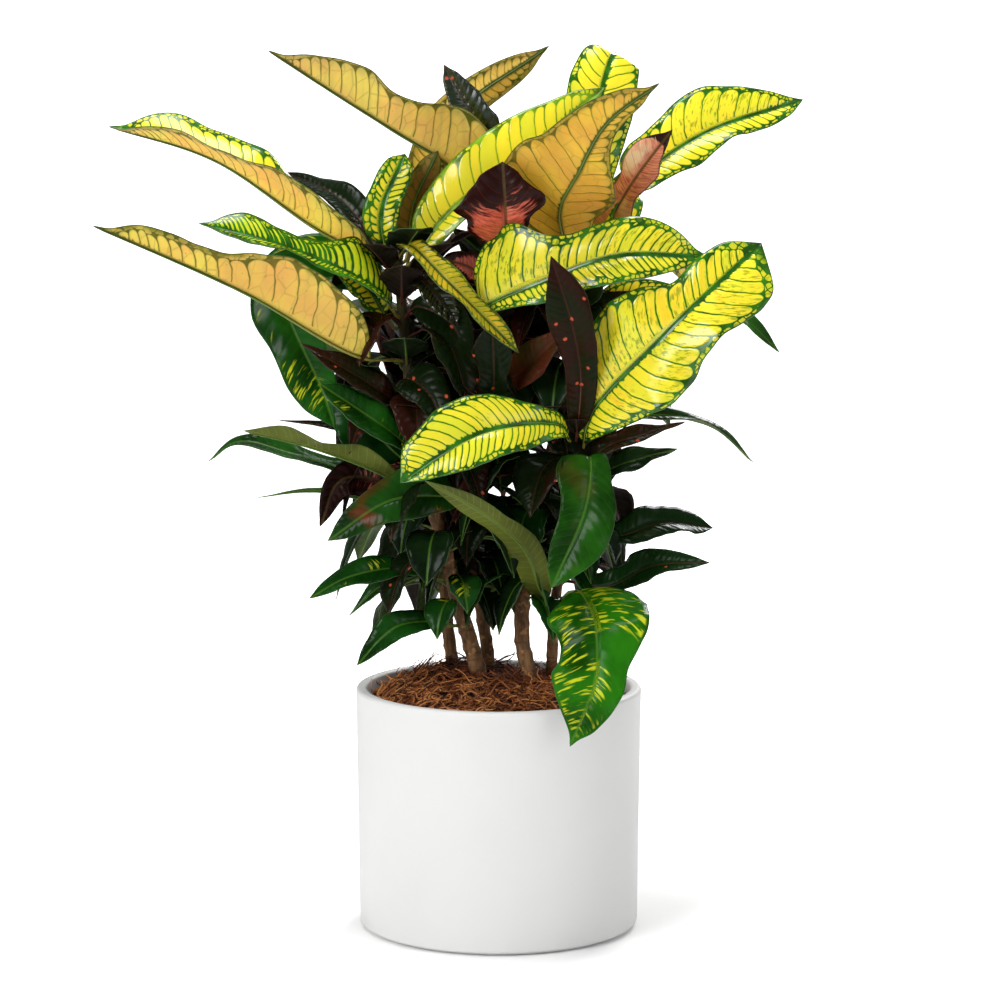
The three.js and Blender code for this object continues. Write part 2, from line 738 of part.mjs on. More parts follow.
function roomForLeaf(name, row, placed, stemSkins) {
  for (const depth of EASE_DEPTHS) {
    for (const foot of EASE_FEET) {
      const eased = easedRow(row, foot, depth);
      const stout = skin(leafGeometry(eased, EASE_MARGIN));
      const others = [...placed, ...Object.keys(stemSkins)
        .filter((stem) => stem !== row.on).map((stem) => stemSkins[stem])];
      if (!others.some((other) => skinsCross(stout, other))) {
        const geometry = leafGeometry(eased);
        if (!skinsCross(skin(geometry), stemSkins[row.on])) {
          return geometry;
        }
      }
    }
  }
  throw new Error(`no room for the leaf ${name}`);
}

// ---------------------------------------------------------------- assembly

const group = new THREE.Group();
group.name = "potted_croton";

function add(name, geometry, finish) {
  const bare = welded(geometry);
  bare.computeVertexNormals();
  const mesh = new THREE.Mesh(bare, new THREE.MeshStandardMaterial({ color: COLOURS[finish] }));
  mesh.name = name;
  group.add(mesh);
}

const stems = Object.values(STEMS);
const sockets = stems.map((stem) => stemGeometry(stem, GAP));
const pot = potGeometry();
const coir = cut(coirGeometry(), sockets);
add("pot", pot, "pot");
add("potting_mix", cut(mixGeometry(), sockets), "mix");
add("coir_mulch", coir, "coir");

const stemSkins = {};
for (const [name, stem] of Object.entries(STEMS)) {
  const geometry = stemGeometry(stem);
  stemSkins[name] = skin(geometry);
  add(`${name}_stem`, geometry, "bark");
}

const placed = [skin(welded(pot)), skin(welded(coir))];
for (const [name, row] of Object.entries(LEAVES)) {
  const geometry = roomForLeaf(name, row, placed, stemSkins);
  placed.push(skin(geometry));
  add(`${name}_leaf`, geometry, row.finish);
}

export default group;
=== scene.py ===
"""A potted croton: leaves with vein patterns, bark stems, loose coir and a matt ceramic pot."""
import math
import random
from functools import cached_property

import bmesh
import bpy
import numpy as np
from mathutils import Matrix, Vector, noise


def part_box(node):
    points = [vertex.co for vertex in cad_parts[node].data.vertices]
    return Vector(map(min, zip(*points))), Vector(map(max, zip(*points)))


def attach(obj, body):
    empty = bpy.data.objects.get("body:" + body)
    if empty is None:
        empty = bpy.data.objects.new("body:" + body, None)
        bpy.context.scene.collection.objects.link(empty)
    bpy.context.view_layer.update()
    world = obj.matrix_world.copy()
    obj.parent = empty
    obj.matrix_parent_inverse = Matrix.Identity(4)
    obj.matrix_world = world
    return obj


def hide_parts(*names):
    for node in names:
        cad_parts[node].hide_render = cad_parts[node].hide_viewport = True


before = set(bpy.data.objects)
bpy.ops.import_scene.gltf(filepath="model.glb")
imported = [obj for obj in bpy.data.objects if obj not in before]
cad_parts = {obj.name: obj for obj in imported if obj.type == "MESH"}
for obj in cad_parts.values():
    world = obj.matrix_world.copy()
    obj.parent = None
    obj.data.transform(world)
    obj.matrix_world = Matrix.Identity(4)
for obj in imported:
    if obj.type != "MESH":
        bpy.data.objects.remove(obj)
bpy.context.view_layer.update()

bl_info = {
    "name": "Potted Croton",
    "version": (1, 0, 0),
    "blender": (4, 5, 0),
    "location": "3D View > Sidebar > Croton",
    "description": "Builds the leaves, stems, coir and pot of a potted croton",
    "category": "Object",
}

BODY = "root"
MM = 0.001
SAME_POINT = 1e-6
FULL_TURN = 2 * math.pi


# ---------------------------------------------------------------- settings

def length(name, description, default):
    return bpy.props.FloatProperty(name=name, description=description, default=default, unit="LENGTH")


def share(name, description, default):
    return bpy.props.FloatProperty(name=name, description=description, default=default, subtype="FACTOR")


def colour(name, description, default):
    return bpy.props.FloatVectorProperty(
        name=name, description=description, default=default, subtype="COLOR", size=3, min=0, max=1)


class CrotonPotSettings(bpy.types.PropertyGroup):
    """Sizes and colour of the pot."""
    wall: length("Wall", "Thickness of the pot wall", 9 * MM)
    floor: length("Floor", "Thickness of the pot floor", 12 * MM)
    lip: length("Lip", "Rounding of the rim's edges", 3.2 * MM)
    foot_inset: length("Foot inset", "How far the foot ring stands in from the wall", 5 * MM)
    foot_height: length("Foot height", "Height of the foot ring", 2 * MM)
    glaze: colour("Glaze", "Colour of the matt glaze", (0.735, 0.735, 0.728))


class CrotonCoirSettings(bpy.types.PropertyGroup):
    """The loose fibres on the soil."""
    fibres: bpy.props.IntProperty(name="Fibres", description="Number of loose fibres", default=1800)
    longest: length("Longest fibre", "Length of the longest fibre", 32 * MM)
    thickness: length("Fibre thickness", "Radius of a fibre", 0.72 * MM)
    light: colour("Light fibre", "Colour of the palest fibres", (0.93, 0.36, 0.10))
    dark: colour("Dark fibre", "Colour of the darkest fibres", (0.055, 0.014, 0.005))


class CrotonStemSettings(bpy.types.PropertyGroup):
    """The woody stems."""
    knobbly: share("Knobbly", "How much the bark swells at old leaf scars", 0.10)
    bark: colour("Bark", "Colour of the bark", (0.32, 0.165, 0.072))
    young: colour("Young wood", "Colour of the young upper wood", (0.10, 0.085, 0.03))


class CrotonLeafSettings(bpy.types.PropertyGroup):
    """Shape and colours of the leaves."""
    blade: length("Blade", "Thickness of a leaf blade", 0.55 * MM)
    midrib: length("Midrib", "Radius of the midrib at the foot of the blade", 1.05 * MM)
    arch: share("Arch", "How far each half of a blade bulges, by its width", 0.085)
    ripple: share("Ripple", "How far the margin waves, by its width", 0.075)
    yellow: colour("Yellow", "Bars between the veins", (1.0, 0.87, 0.040))
    gold: colour("Gold", "Deeper patches of the bars", (1.0, 0.68, 0.035))
    vein: colour("Vein green", "Veins and margins of the bright leaves", (0.015, 0.085, 0.004))
    ochre: colour("Ochre", "Undersides of the bright leaves", (1.0, 0.73, 0.17))
    leaf_green: colour("Leaf green", "The green leaves", (0.016, 0.095, 0.004))
    near_black: colour("Near black", "The darkest leaves", (0.0050, 0.0052, 0.0028))
    maroon: colour("Maroon", "The maroon leaves", (0.032, 0.006, 0.004))
    coral: colour("Coral", "Coral flush on the red leaves", (0.82, 0.22, 0.15))


class CrotonStageSettings(bpy.types.PropertyGroup):
    """Camera, floor and studio light."""
    distance: length("Camera distance", "From the pot's axis to the camera", 2.8)
    height: length("Camera height", "Height of the camera above the floor", 0.7384)
    pitch: bpy.props.FloatProperty(
        name="Pitch", description="How far the camera looks down", default=math.radians(7.981),
        subtype="ANGLE")
    lens: bpy.props.FloatProperty(name="Lens", description="Focal length in millimetres", default=127.07)
    floor: colour("Floor", "Colour of the floor and backdrop", (0.93, 0.93, 0.93))


class CrotonSettings(bpy.types.PropertyGroup):
    """Everything a user would change."""
    pot: bpy.props.PointerProperty(type=CrotonPotSettings)
    coir: bpy.props.PointerProperty(type=CrotonCoirSettings)
    stem: bpy.props.PointerProperty(type=CrotonStemSettings)
    leaf: bpy.props.PointerProperty(type=CrotonLeafSettings)
    stage: bpy.props.PointerProperty(type=CrotonStageSettings)


def settings():
    return bpy.context.scene.croton


# ---------------------------------------------------------------- shader graphs

def scaled(shade, factor, plus=0.0):
    """A colour made lighter or darker, all of it or each channel by its own factor."""
    factors = factor if isinstance(factor, tuple) else (factor,) * 3
    return tuple(min(1, c * k + plus) for c, k in zip(shade, factors))


class Value:
    """The output of a node, to reckon with."""

    def __init__(self, graph, socket):
        self.graph = graph
        self.socket = socket

    def __add__(self, other):
        return self.graph.math("ADD", self, other)

    def __radd__(self, other):
        return self.graph.math("ADD", other, self)

    def __sub__(self, other):
        return self.graph.math("SUBTRACT", self, other)

    def __rsub__(self, other):
        return self.graph.math("SUBTRACT", other, self)

    def __mul__(self, other):
        return self.graph.math("MULTIPLY", self, other)

    def rise(self, low, high, start=0.0, end=1.0):
        """Goes smoothly from start to end as the value goes from low to high."""
        return self.graph.made("MapRange", (self, low, high, start, end), interpolation_type="SMOOTHSTEP")

    def parts(self):
        made = self.graph.node("SeparateXYZ", (self,))
        return [Value(self.graph, socket) for socket in made.outputs]

    def lots(self):
        """Three random numbers for each cell, where the value is the distance to a cell's middle."""
        return Value(self.graph, self.socket.node.outputs["Color"]).parts()


class Graph:
    """Builds a node material from short calls."""

    def __init__(self, name):
        self.material = bpy.data.materials.new(name)
        self.material.use_nodes = True
        self.tree = self.material.node_tree
        self.tree.nodes.clear()

    def feed(self, socket, value):
        if isinstance(value, Value):
            value = value.socket
        if isinstance(value, bpy.types.NodeSocket):
            self.tree.links.new(value, socket)
        elif socket.type == "RGBA" and len(value) == 3:
            socket.default_value = (*value, 1)
        else:
            socket.default_value = value

    def node(self, kind, values=(), **options):
        """A new node. values go to its first inputs; options name its choices and its other inputs."""
        made = self.tree.nodes.new("ShaderNode" + kind)
        for key, value in options.items():
            if hasattr(made, key):
                setattr(made, key, value)
            else:
                self.feed(made.inputs[key.replace("_", " ")], value)
        for socket, value in zip(made.inputs, values):
            self.feed(socket, value)
        return made

    def made(self, kind, values=(), **options):
        return Value(self, self.node(kind, values, **options).outputs[0])

    def math(self, operation, *values):
        return self.made("Math", values, operation=operation)

    def least(self, a, b, softness=0.0):
        if softness:
            return self.math("SMOOTH_MIN", a, b, softness)
        return self.math("MINIMUM", a, b)

    def most(self, a, b):
        return self.math("MAXIMUM", a, b)

    def vector(self, *values):
        return self.made("CombineXYZ", values)

    def attribute(self, name):
        return Value(self, self.node("Attribute", attribute_name=name).outputs["Vector"])

    @cached_property
    def place(self):
        return Value(self, self.node("TexCoord").outputs["Object"])

    def noise(self, scale, detail=2.0, roughness=0.5, at=None):
        """Cloudy noise, read in the piece's own space unless at says where."""
        return self.made("TexNoise", Vector=at or self.place, Scale=scale, Detail=detail, Roughness=roughness)

    def cells(self, at, scale, feature="F1", dimensions="3D", spread=1.0):
        """Distance to the middle, or to the edge, of irregular cells."""
        where = {"W" if dimensions == "1D" else "Vector": at}
        made = self.node("TexVoronoi", voronoi_dimensions=dimensions, feature=feature, Scale=scale,
                         Randomness=spread, **where)
        return Value(self, made.outputs["Distance"])

    def mix(self, factor, a, b):
        made = self.node("Mix", data_type="RGBA")
        for place, value in ((0, factor), (6, a), (7, b)):
            self.feed(made.inputs[place], value)
        return Value(self, made.outputs[2])

    def ramp(self, value, stops):
        made = self.node("ValToRGB", (value,))
        band = made.color_ramp.elements
        while len(band) < len(stops):
            band.new(0.5)
        for element, (position, shade) in zip(band, stops):
            element.position = position
            element.color = (*shade, 1)
        return Value(self, made.outputs[0])

    def bump(self, height, distance, strength=1.0):
        return self.made("Bump", Strength=strength, Distance=distance, Height=height)

    def surface(self, base, roughness, normal, specular=0.5, glow=0.0, through=None, **options):
        """Principled, with a share of light let through a thin leaf where glow is above zero."""
        if normal:
            options["Normal"] = normal
        end = self.made("BsdfPrincipled", Base_Color=base, Roughness=roughness, Specular_IOR_Level=specular,
                        **options)
        if glow:
            lit = self.made("BsdfTranslucent", Color=through or base)
            end = self.made("MixShader", (glow, end, lit))
        self.node("OutputMaterial", Surface=end)
        return self.material


# ---------------------------------------------------------------- leaf materials

VEIN_PITCH = (6.6 * MM, 13.0 * MM)   # spacing of the side veins on narrow and on broad halves
PITCH_SHARE = 0.34                   # spacing as a share of the half width
VEIN_LEAN = (0.10, 0.62)             # how far the side veins lean forward, at the foot and the tip
VEIN_CURL = 0.30                     # how far they curl forward near the margin
NET_CELL = 11 * MM                   # cell of the fine net of veins seen on the ochre undersides
SPOT_CELL = 15 * MM                  # one spot at most in each such cell of a dark leaf
TO_EDGE = "DISTANCE_TO_EDGE"


class LeafGraph(Graph):
    """A leaf's own measures, which its mesh carries: where the veins run and where its margin is."""

    def __init__(self, name):
        super().__init__(name)
        self.phase, self.across, self.half = self.attribute("vein").parts()
        self.station, side, self.along = self.attribute("place").parts()
        self.out = self.math("ABSOLUTE", self.across)
        self.to_margin = (1.0 - self.math("ABSOLUTE", side)) * self.half
        self.flat = self.vector(self.along, self.across, 0.0)

    def noise(self, scale, detail=2.0, roughness=0.5, at=None):
        return super().noise(scale, detail, roughness, at or self.flat)

    def wobble(self, size, scale):
        return (self.noise(scale, 2) - 0.5) * size

    def streaks(self, phase, along, across, detail, roughness, shift=0.0):
        """Noise drawn out along the side veins."""
        return self.noise(1.0, detail, roughness, self.vector(phase * along, self.out * across, shift))

    def side_veins(self, wander):
        """The wandering vein phase, and how far a point is from the nearest side vein, as a share."""
        phase = self.phase + self.wobble(wander, 60)
        return phase, self.cells(phase, 1.0, TO_EDGE, "1D", 0.6)


def bar_field(g, vein, midrib, margin, crowd):
    """Distance in metres inside the long round-ended bars between the side veins; below zero is vein."""
    pitch = g.least(g.most(g.half * PITCH_SHARE, VEIN_PITCH[0]), VEIN_PITCH[1]) * (1 / crowd)
    phase = (g.phase + g.wobble(0.34, 70)) * crowd
    cell = g.cells(phase, 1.0, "F1", "1D", 0.66)
    lot = cell.lots()
    middle = cell * pitch
    half_bar = g.cells(phase, 1.0, TO_EDGE, "1D", 0.66) * pitch + middle
    spared = g.least(margin, g.half * 0.30) * (0.45 + lot[0] * 0.85 + g.wobble(1.3, 24))
    spared = spared + g.station.rise(0.86, 0.99, 0.0, 0.70) * g.half
    end = g.to_margin - spared
    past = g.most(half_bar - end, 0.0)
    across = g.math("SQRT", middle * middle + past * past)
    bar = half_bar - across - (vein + g.wobble(vein * 2.6, 45))
    teeth = g.streaks(g.phase, 2.6, 30, 3, 0.65)
    root = g.out - (midrib * 0.5 + teeth.rise(0.35, 0.75) * (midrib * 1.3))
    return g.least(bar, root, 0.0022), end, lot


def margin_cells(g, end, size, rim, gap=0.00030):
    """Distance in metres inside the small bubbly cells between the bars' ends and the margin."""
    wall = g.cells(g.flat, 1 / size, TO_EDGE, "2D", 0.85) * size
    middle = g.cells(g.flat, 1 / size, "F1", "2D", 0.85)
    lot = middle.lots()
    inside = g.least(wall - gap, size * 0.44 + lot[1] * (size * 0.22) - middle * size, size * 0.1)
    inside = g.least(inside, -0.0002 - end, 0.0008)
    return g.least(inside, g.to_margin - rim, 0.0008), lot[0].rise(0.14, 0.20)


def bright_upper(name, vein=0.00028, midrib=0.0021, margin=0.0044, rim=0.0008, gold=0.4, smudge=0.5,
                 roughness=0.18, lemon=None, crowd=1.1, cell=0.0046, halo=0.32, glint=0.40, net=None):
    """Yellow bars between dark green veins, with a green margin of small yellow cells."""
    s = settings().leaf
    lemon = lemon or s.yellow
    net = net or s.vein
    g = LeafGraph(name)
    field, end, lot = bar_field(g, vein, midrib, margin, crowd)
    small, kept = margin_cells(g, end, cell, rim)
    dots = small.rise(-0.0002, 0.0005) * kept * g.station.rise(0.93, 0.99, 1.0, 0.0)
    yellow_share = g.most(field.rise(-0.0002, 0.0006), dots * 0.9)
    deep = field.rise(0.0002, 0.0030) * g.noise(22).rise(0.62 - 0.3 * gold, 0.9 - 0.4 * gold)
    yellow = g.mix(lot[1].rise(0.0, 1.0), lemon, scaled(lemon, (0.84, 0.97, 1.0)))
    yellow = g.mix(deep * min(1.0, gold * 1.5), yellow, s.gold)
    yellow = g.mix(field.rise(0.0002, 0.0013, halo, 0.0), yellow, (0.48, 0.60, 0.010))
    smudged = (g.streaks(g.phase, 5.5, 150, 3, 0.6, 3.0).rise(0.62 - 0.14 * smudge, 0.76 - 0.14 * smudge)
               * g.noise(34).rise(0.58 - 0.24 * smudge, 0.76 - 0.2 * smudge))
    yellow = g.mix(smudged * 0.72, yellow, (0.15, 0.27, 0.008))
    green = g.mix(g.noise(60, 3).rise(0.35, 0.7), net, scaled(net, 2.8))
    coat = g.mix(yellow_share.rise(0.0, 0.55), green, (0.26, 0.40, 0.010))
    coat = g.mix(yellow_share.rise(0.30, 1.0), coat, yellow)
    # a thin pale rim along the very edge: a painted highlight where light catches the margin
    coat = g.mix(g.to_margin.rise(0.0, 0.0006, 0.45, 0.0), coat, (0.16, 0.22, 0.08))
    normal = g.bump(field.rise(-0.0004, 0.0018) + g.noise(300) * 0.05, 0.0004, 0.32)
    gloss = g.noise(26).rise(0.35, 0.7, roughness - 0.04, roughness + 0.10)
    return g.surface(coat, gloss, normal, glint, 0.26)


def bright_under(name, vein=0.00030, midrib=0.0016, margin=0.0042, green=0.4, tone=None, crowd=0.9,
                 glow=0.40):
    """Ochre undersides with olive side veins that arch over near the margin, and a faint net."""
    ochre = tone or settings().leaf.ochre
    g = LeafGraph(name)
    field, end, lot = bar_field(g, vein, midrib, margin, crowd)
    small, kept = margin_cells(g, end, 0.0058, 0.0004, 0.00022)
    ochre_share = g.most(field.rise(-0.0004, 0.0006), small.rise(-0.0008, 0.0004) * (0.62 + kept * 0.38))
    golder = scaled(ochre, (1.08, 1.14, 0.9))
    body = g.mix(g.noise(26, 3).rise(0.3, 0.72), golder, scaled(ochre, (0.95, 0.80, 0.95)))
    body = g.mix(lot[2].rise(0.2, 1.0) * 0.25, body, golder)
    body = g.mix(g.noise(60, 3).rise(0.50, 0.78) * 0.30, body, scaled(ochre, (0.80, 0.62, 0.7)))
    body = g.mix(g.noise(190).rise(0.68, 0.78) * 0.45, body, (0.22, 0.12, 0.02))
    greened = g.noise(70).rise(0.40, 0.62) * g.to_margin.rise(0.0005, 0.0065, 1.0, 0.0)
    body = g.mix(greened * green, body, (0.26, 0.30, 0.02))
    mesh = g.cells(g.vector(g.along, g.across * 0.62, 0.0), 1 / NET_CELL, TO_EDGE, "2D") * NET_CELL
    seam = g.most(field.rise(0.0, 0.0013, 0.42, 0.0), mesh.rise(0.0001, 0.0008, 0.24, 0.0))
    body = g.mix(seam * g.noise(34).rise(0.30, 0.62, 0.35, 1.0), body, (0.24, 0.19, 0.016))
    line = g.mix(g.noise(40).rise(0.35, 0.65), (0.11, 0.13, 0.012), (0.24, 0.18, 0.025))
    coat = g.mix(ochre_share.rise(0.0, 1.0, 0.06, 1.0), line, body)
    coat = g.mix(g.out.rise(midrib * 0.4, midrib, 0.85, 0.0), coat, (0.07, 0.10, 0.015))
    coat = g.mix(g.to_margin.rise(0.0003, 0.0011, 0.75, 0.0), coat, (0.05, 0.09, 0.02))
    relief = 1.0 - field.rise(-0.0005, 0.0012) + g.noise(400) * 0.06
    return g.surface(coat, 0.42, g.bump(relief, 0.0004, 0.4), 0.18, glow)


def green_upper(name, dashes=0.5, base=None, flush=0.0, roughness=0.24, quilt=0.22, glint=0.13):
    """Dark green with clusters of yellow-green dashes laid along the side veins."""
    base = base or settings().leaf.leaf_green
    light = scaled(base, 1.6)
    g = LeafGraph(name)
    phase, edge = g.side_veins(0.4)
    coat = g.mix(g.noise(26, 3).rise(0.30, 0.72), scaled(base, 0.42), light)
    coat = g.mix(edge.rise(0.0, 0.10, 1.0, 0.0) * 0.30, coat, light)
    fine = g.cells(g.vector(phase * 2.4, g.out * 70, 0.0), 1.0, "F1", "2D")
    level = 0.66 - 0.24 * dashes
    dash = g.streaks(phase, 3.6, 44, 2, 0.6).rise(0.48, 0.56) * fine.rise(0.34, 0.52, 1.0, 0.0)
    dash = dash * g.noise(20).rise(level, level + 0.06) * g.to_margin.rise(0.0015, 0.004)
    dash = dash * g.station.rise(0.88, 0.98, 1.0, 0.0)
    coat = g.mix(dash * (0.95 if dashes else 0.0), coat, (0.60, 0.66, 0.02))
    if flush:
        coat = g.mix(g.noise(24).rise(0.52, 0.68) * flush, coat, (0.20, 0.022, 0.010))
    coat = g.mix(g.out.rise(0.0005, 0.0014, 1.0, 0.0) * 0.5, coat, (0.09, 0.22, 0.02))
    # a thin pale rim along the very edge: a painted highlight where light catches the margin
    coat = g.mix(g.to_margin.rise(0.0, 0.0006, 0.4, 0.0), coat, (0.16, 0.26, 0.10))
    relief = edge.rise(0.0, 0.45) + g.noise(120) * 0.25
    return g.surface(coat, roughness, g.bump(relief, 0.0008, quilt), glint, 0.14)


def dark_upper(name, base=None, spots=0.5, quilt=0.25, roughness=0.25, warm=0.5, glint=0.09):
    """Blackish green or brown leaves with a few coral spots."""
    base = base or settings().leaf.near_black
    brown = (base[0] * 2.4 + 0.004, base[1] * 1.0, base[2] * 0.9)
    green = (base[0] * 0.9, base[1] * 1.8 + 0.002, base[2] * 0.8)
    g = LeafGraph(name)
    _, edge = g.side_veins(0.35)
    coat = g.mix(g.noise(22, 3).rise(0.62 - 0.3 * warm, 0.80 - 0.2 * warm), green, brown)
    coat = g.mix(edge.rise(0.0, 0.12, 1.0, 0.0) * 0.22, coat, scaled(base, 2.4, 0.002))
    middle = g.cells(g.flat, 1 / SPOT_CELL, "F1", "2D")
    spot = ((middle + g.wobble(0.16, 260)).rise(0.06, 0.12, 1.0, 0.0)
            * middle.lots()[0].rise(1.0 - 0.30 * spots, 1.02 - 0.30 * spots))
    coat = g.mix(spot * (1.0 if spots else 0.0), coat, (0.55, 0.09, 0.04))
    coat = g.mix(g.out.rise(0.0004, 0.0012, 1.0, 0.0) * 0.30, coat, (0.10, 0.028, 0.018))
    # a thin paler rim along the very edge: a painted highlight where light catches the margin
    coat = g.mix(g.to_margin.rise(0.0, 0.0006, 0.3, 0.0), coat, (0.10, 0.06, 0.04))
    relief = edge.rise(0.0, 0.45) + g.noise(110) * 0.3
    return g.surface(coat, roughness, g.bump(relief, 0.0010, quilt), glint, 0.05, (0.06, 0.012, 0.006))


def red_upper(name, flush=0.5, low=0.55, orange=0.0, dark=None, rim=0.008, tone=None):
    """Maroon towards the tip and the margin, with a streaky coral flush near the foot."""
    s = settings().leaf
    dark = dark or s.maroon
    coral = tone or s.coral
    g = LeafGraph(name)
    phase, edge = g.side_veins(0.5)
    streak = g.streaks(phase, 3.4, 42, 3, 0.65)
    reach = streak * 1.15 + g.noise(18) * 0.45 + (flush - 0.75)
    reach = reach - g.station.rise(low - 0.22, low + 0.24, 0.0, 0.60)
    reach = reach - g.to_margin.rise(0.0, rim, 0.60, 0.0)
    reach = reach - (g.station + streak * 0.12).rise(0.84, 0.96, 0.0, 1.0)
    mottle = g.streaks(phase, 6.0, 90, 4, 0.7, 4.0)
    warm = g.mix(mottle.rise(0.34, 0.66), scaled(coral, (0.50, 0.28, 0.40)), coral)
    warm = g.mix(g.noise(46, 3).rise(0.48, 0.72) * 0.8, warm, scaled(coral, (1.12, 2.0, 2.2)))
    if orange:
        low_down = g.station.rise(0.10, 0.60, 1.0, 0.0) * orange
        warm = g.mix(low_down, warm, g.mix(mottle, (0.40, 0.13, 0.03), (0.80, 0.36, 0.08)))
    deep = g.mix(g.noise(30), dark, scaled(dark, 0.35))
    coat = g.mix(reach.rise(0.32, 0.50), deep, warm)
    coat = g.mix(edge.rise(0.0, 0.06, 1.0, 0.0) * 0.45, coat, (0.10, 0.016, 0.008))
    coat = g.mix(g.out.rise(0.0007, 0.0016, 1.0, 0.0) * 0.8, coat, (0.10, 0.06, 0.018))
    coat = g.mix(g.to_margin.rise(0.0003, 0.0016, 0.8, 0.0), coat, scaled(dark, 0.5))
    relief = edge.rise(0.0, 0.45) + g.noise(300) * 0.07
    return g.surface(coat, 0.30, g.bump(relief, 0.0008, 0.35), 0.15, 0.18)


def dull_under(name, base, glow=0.16):
    """A plain matt underside with fine raised side veins."""
    vein = scaled(base, 1.5, 0.01)
    g = LeafGraph(name)
    _, edge = g.side_veins(0.3)
    line = edge.rise(0.0, 0.10, 1.0, 0.0)
    coat = g.mix(g.noise(28, 3).rise(0.3, 0.72), base, scaled(base, 0.62))
    coat = g.mix(line * 0.55, coat, vein)
    coat = g.mix(g.out.rise(0.0008, 0.002, 0.6, 0.0), coat, vein)
    return g.surface(coat, 0.5, g.bump(line + g.noise(400) * 0.1, 0.0005, 0.35), 0.25, glow)


def stalk_skin(name, base, tip):
    """Stalks and midribs, from the colour at the stem to the colour at the tip."""
    g = LeafGraph(name)
    grain = g.noise(320, 3, at=g.place)
    coat = g.mix(g.station.rise(-0.1, 0.5), base, tip)
    coat = g.mix(grain.rise(0.45, 0.75, 0.0, 0.45), coat, scaled(base, 0.45))
    return g.surface(coat, 0.42, g.bump(grain, 0.0004, 0.5), 0.4)


# ---------------------------------------------------------------- modelling helpers

def pick(piece, *others):
    """Leaves only these pieces selected, and the first of them active."""
    if bpy.context.object and bpy.context.object.mode != "OBJECT":
        bpy.ops.object.mode_set(mode="OBJECT")
    bpy.ops.object.select_all(action="DESELECT")
    for one in (piece, *others):
        one.select_set(True)
    bpy.context.view_layer.objects.active = piece


def added(name):
    """Names the primitive that was just added."""
    piece = bpy.context.object
    piece.name = name
    piece.data.name = name
    return piece


def points_of(piece):
    flat = np.empty(len(piece.data.vertices) * 3)
    piece.data.vertices.foreach_get("co", flat)
    return flat.reshape(-1, 3)


def place_points(piece, points):
    piece.data.vertices.foreach_set("co", np.asarray(points, float).ravel())
    piece.data.update()


def carry(piece, name, *columns):
    """Stores three numbers a point, for the materials to read."""
    held = piece.data.attributes.new(name, "FLOAT_VECTOR", "POINT")
    held.data.foreach_set("vector", np.column_stack(columns).astype(np.float32).ravel())


def clean(piece, closed=False):
    """Merges doubles. Where a closed piece is wanted, also fills its holes and turns its faces out."""
    pick(piece)
    bpy.ops.object.mode_set(mode="EDIT")
    bpy.ops.mesh.select_all(action="SELECT")
    bpy.ops.mesh.remove_doubles(threshold=2 * SAME_POINT)
    if closed:
        bpy.ops.mesh.select_all(action="SELECT")
        bpy.ops.mesh.fill_holes(sides=0)
        bpy.ops.mesh.select_all(action="SELECT")
        bpy.ops.mesh.normals_make_consistent(inside=False)
    bpy.ops.object.mode_set(mode="OBJECT")


def finish_piece(piece, slot, *nodes, skin=None, sharp=None):
    """Gives a piece its material, its smooth shading and its place in the frame."""
    if skin:
        piece.data.materials.append(skin)
    pick(piece)
    if sharp:
        bpy.ops.object.shade_smooth_by_angle(angle=math.radians(sharp))
    else:
        bpy.ops.object.shade_smooth()
    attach(piece, BODY)
    if nodes:
        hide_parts(*nodes)


def sheet(name, columns, rows):
    """A grid to be shaped: its points' places across, from -1 to 1, and along, from 0 to 1."""
    bpy.ops.mesh.primitive_grid_add(x_subdivisions=columns, y_subdivisions=rows, size=2, calc_uvs=False)
    piece = added(name)
    points = points_of(piece)
    return piece, points[:, 0], (points[:, 1] + 1) / 2


def unit(vectors):
    return vectors / np.maximum(np.linalg.norm(vectors, axis=-1, keepdims=True), 1e-12)


def read_off(at, knots, points):
    """Straight lines through points at their knots, read at the places asked for."""
    return np.column_stack([np.interp(at, knots, points[:, i]) for i in range(3)])


def along_line(points, knots, at):
    """A smooth curve through points at their knots, read at the places asked for."""
    points = np.asarray(points, float)
    slopes = np.gradient(points, knots, axis=0)
    k = np.clip(np.searchsorted(knots, at, side="right") - 1, 0, len(knots) - 2)
    gap = (knots[k + 1] - knots[k])[:, None]
    t = ((at - knots[k]) / (knots[k + 1] - knots[k]))[:, None]
    return ((2 * t**3 - 3 * t**2 + 1) * points[k] + (t**3 - 2 * t**2 + t) * gap * slopes[k]
            + (3 * t**2 - 2 * t**3) * points[k + 1] + (t**3 - t**2) * gap * slopes[k + 1])


def run_length(points):
    steps = np.linalg.norm(np.diff(points, axis=0), axis=1)
    return np.concatenate([[0], np.cumsum(steps)])


def carried_frames(points):
    """Two directions square to a line at each point, which turn as little as they can."""
    tangents = unit(np.gradient(points, axis=0))
    sides = [unit(np.cross(tangents[0], (0.3, 0.2, 1.0)))]
    for tangent in tangents[1:]:
        sides.append(unit(sides[-1] - tangent * np.dot(sides[-1], tangent)))
    sides = np.array(sides)
    return sides, np.cross(tangents, sides)


def tube(name, centres, radii, around, bumps=None):
    """An open tube round a line, and each point's row. bumps(angle, row) swells the radius."""
    centres = np.asarray(centres, float)
    rows = len(centres) - 1
    piece, across, along = sheet(name, around, rows)
    east, north = carried_frames(centres)
    row = np.rint(along * rows).astype(int)
    angle = (across + 1) * math.pi
    reach = np.asarray(radii, float)[row]
    if bumps:
        reach = reach * bumps(np.mod(angle, FULL_TURN), row)
    round_it = east[row] * np.cos(angle)[:, None] + north[row] * np.sin(angle)[:, None]
    place_points(piece, centres[row] + round_it * reach[:, None])
    return piece, row


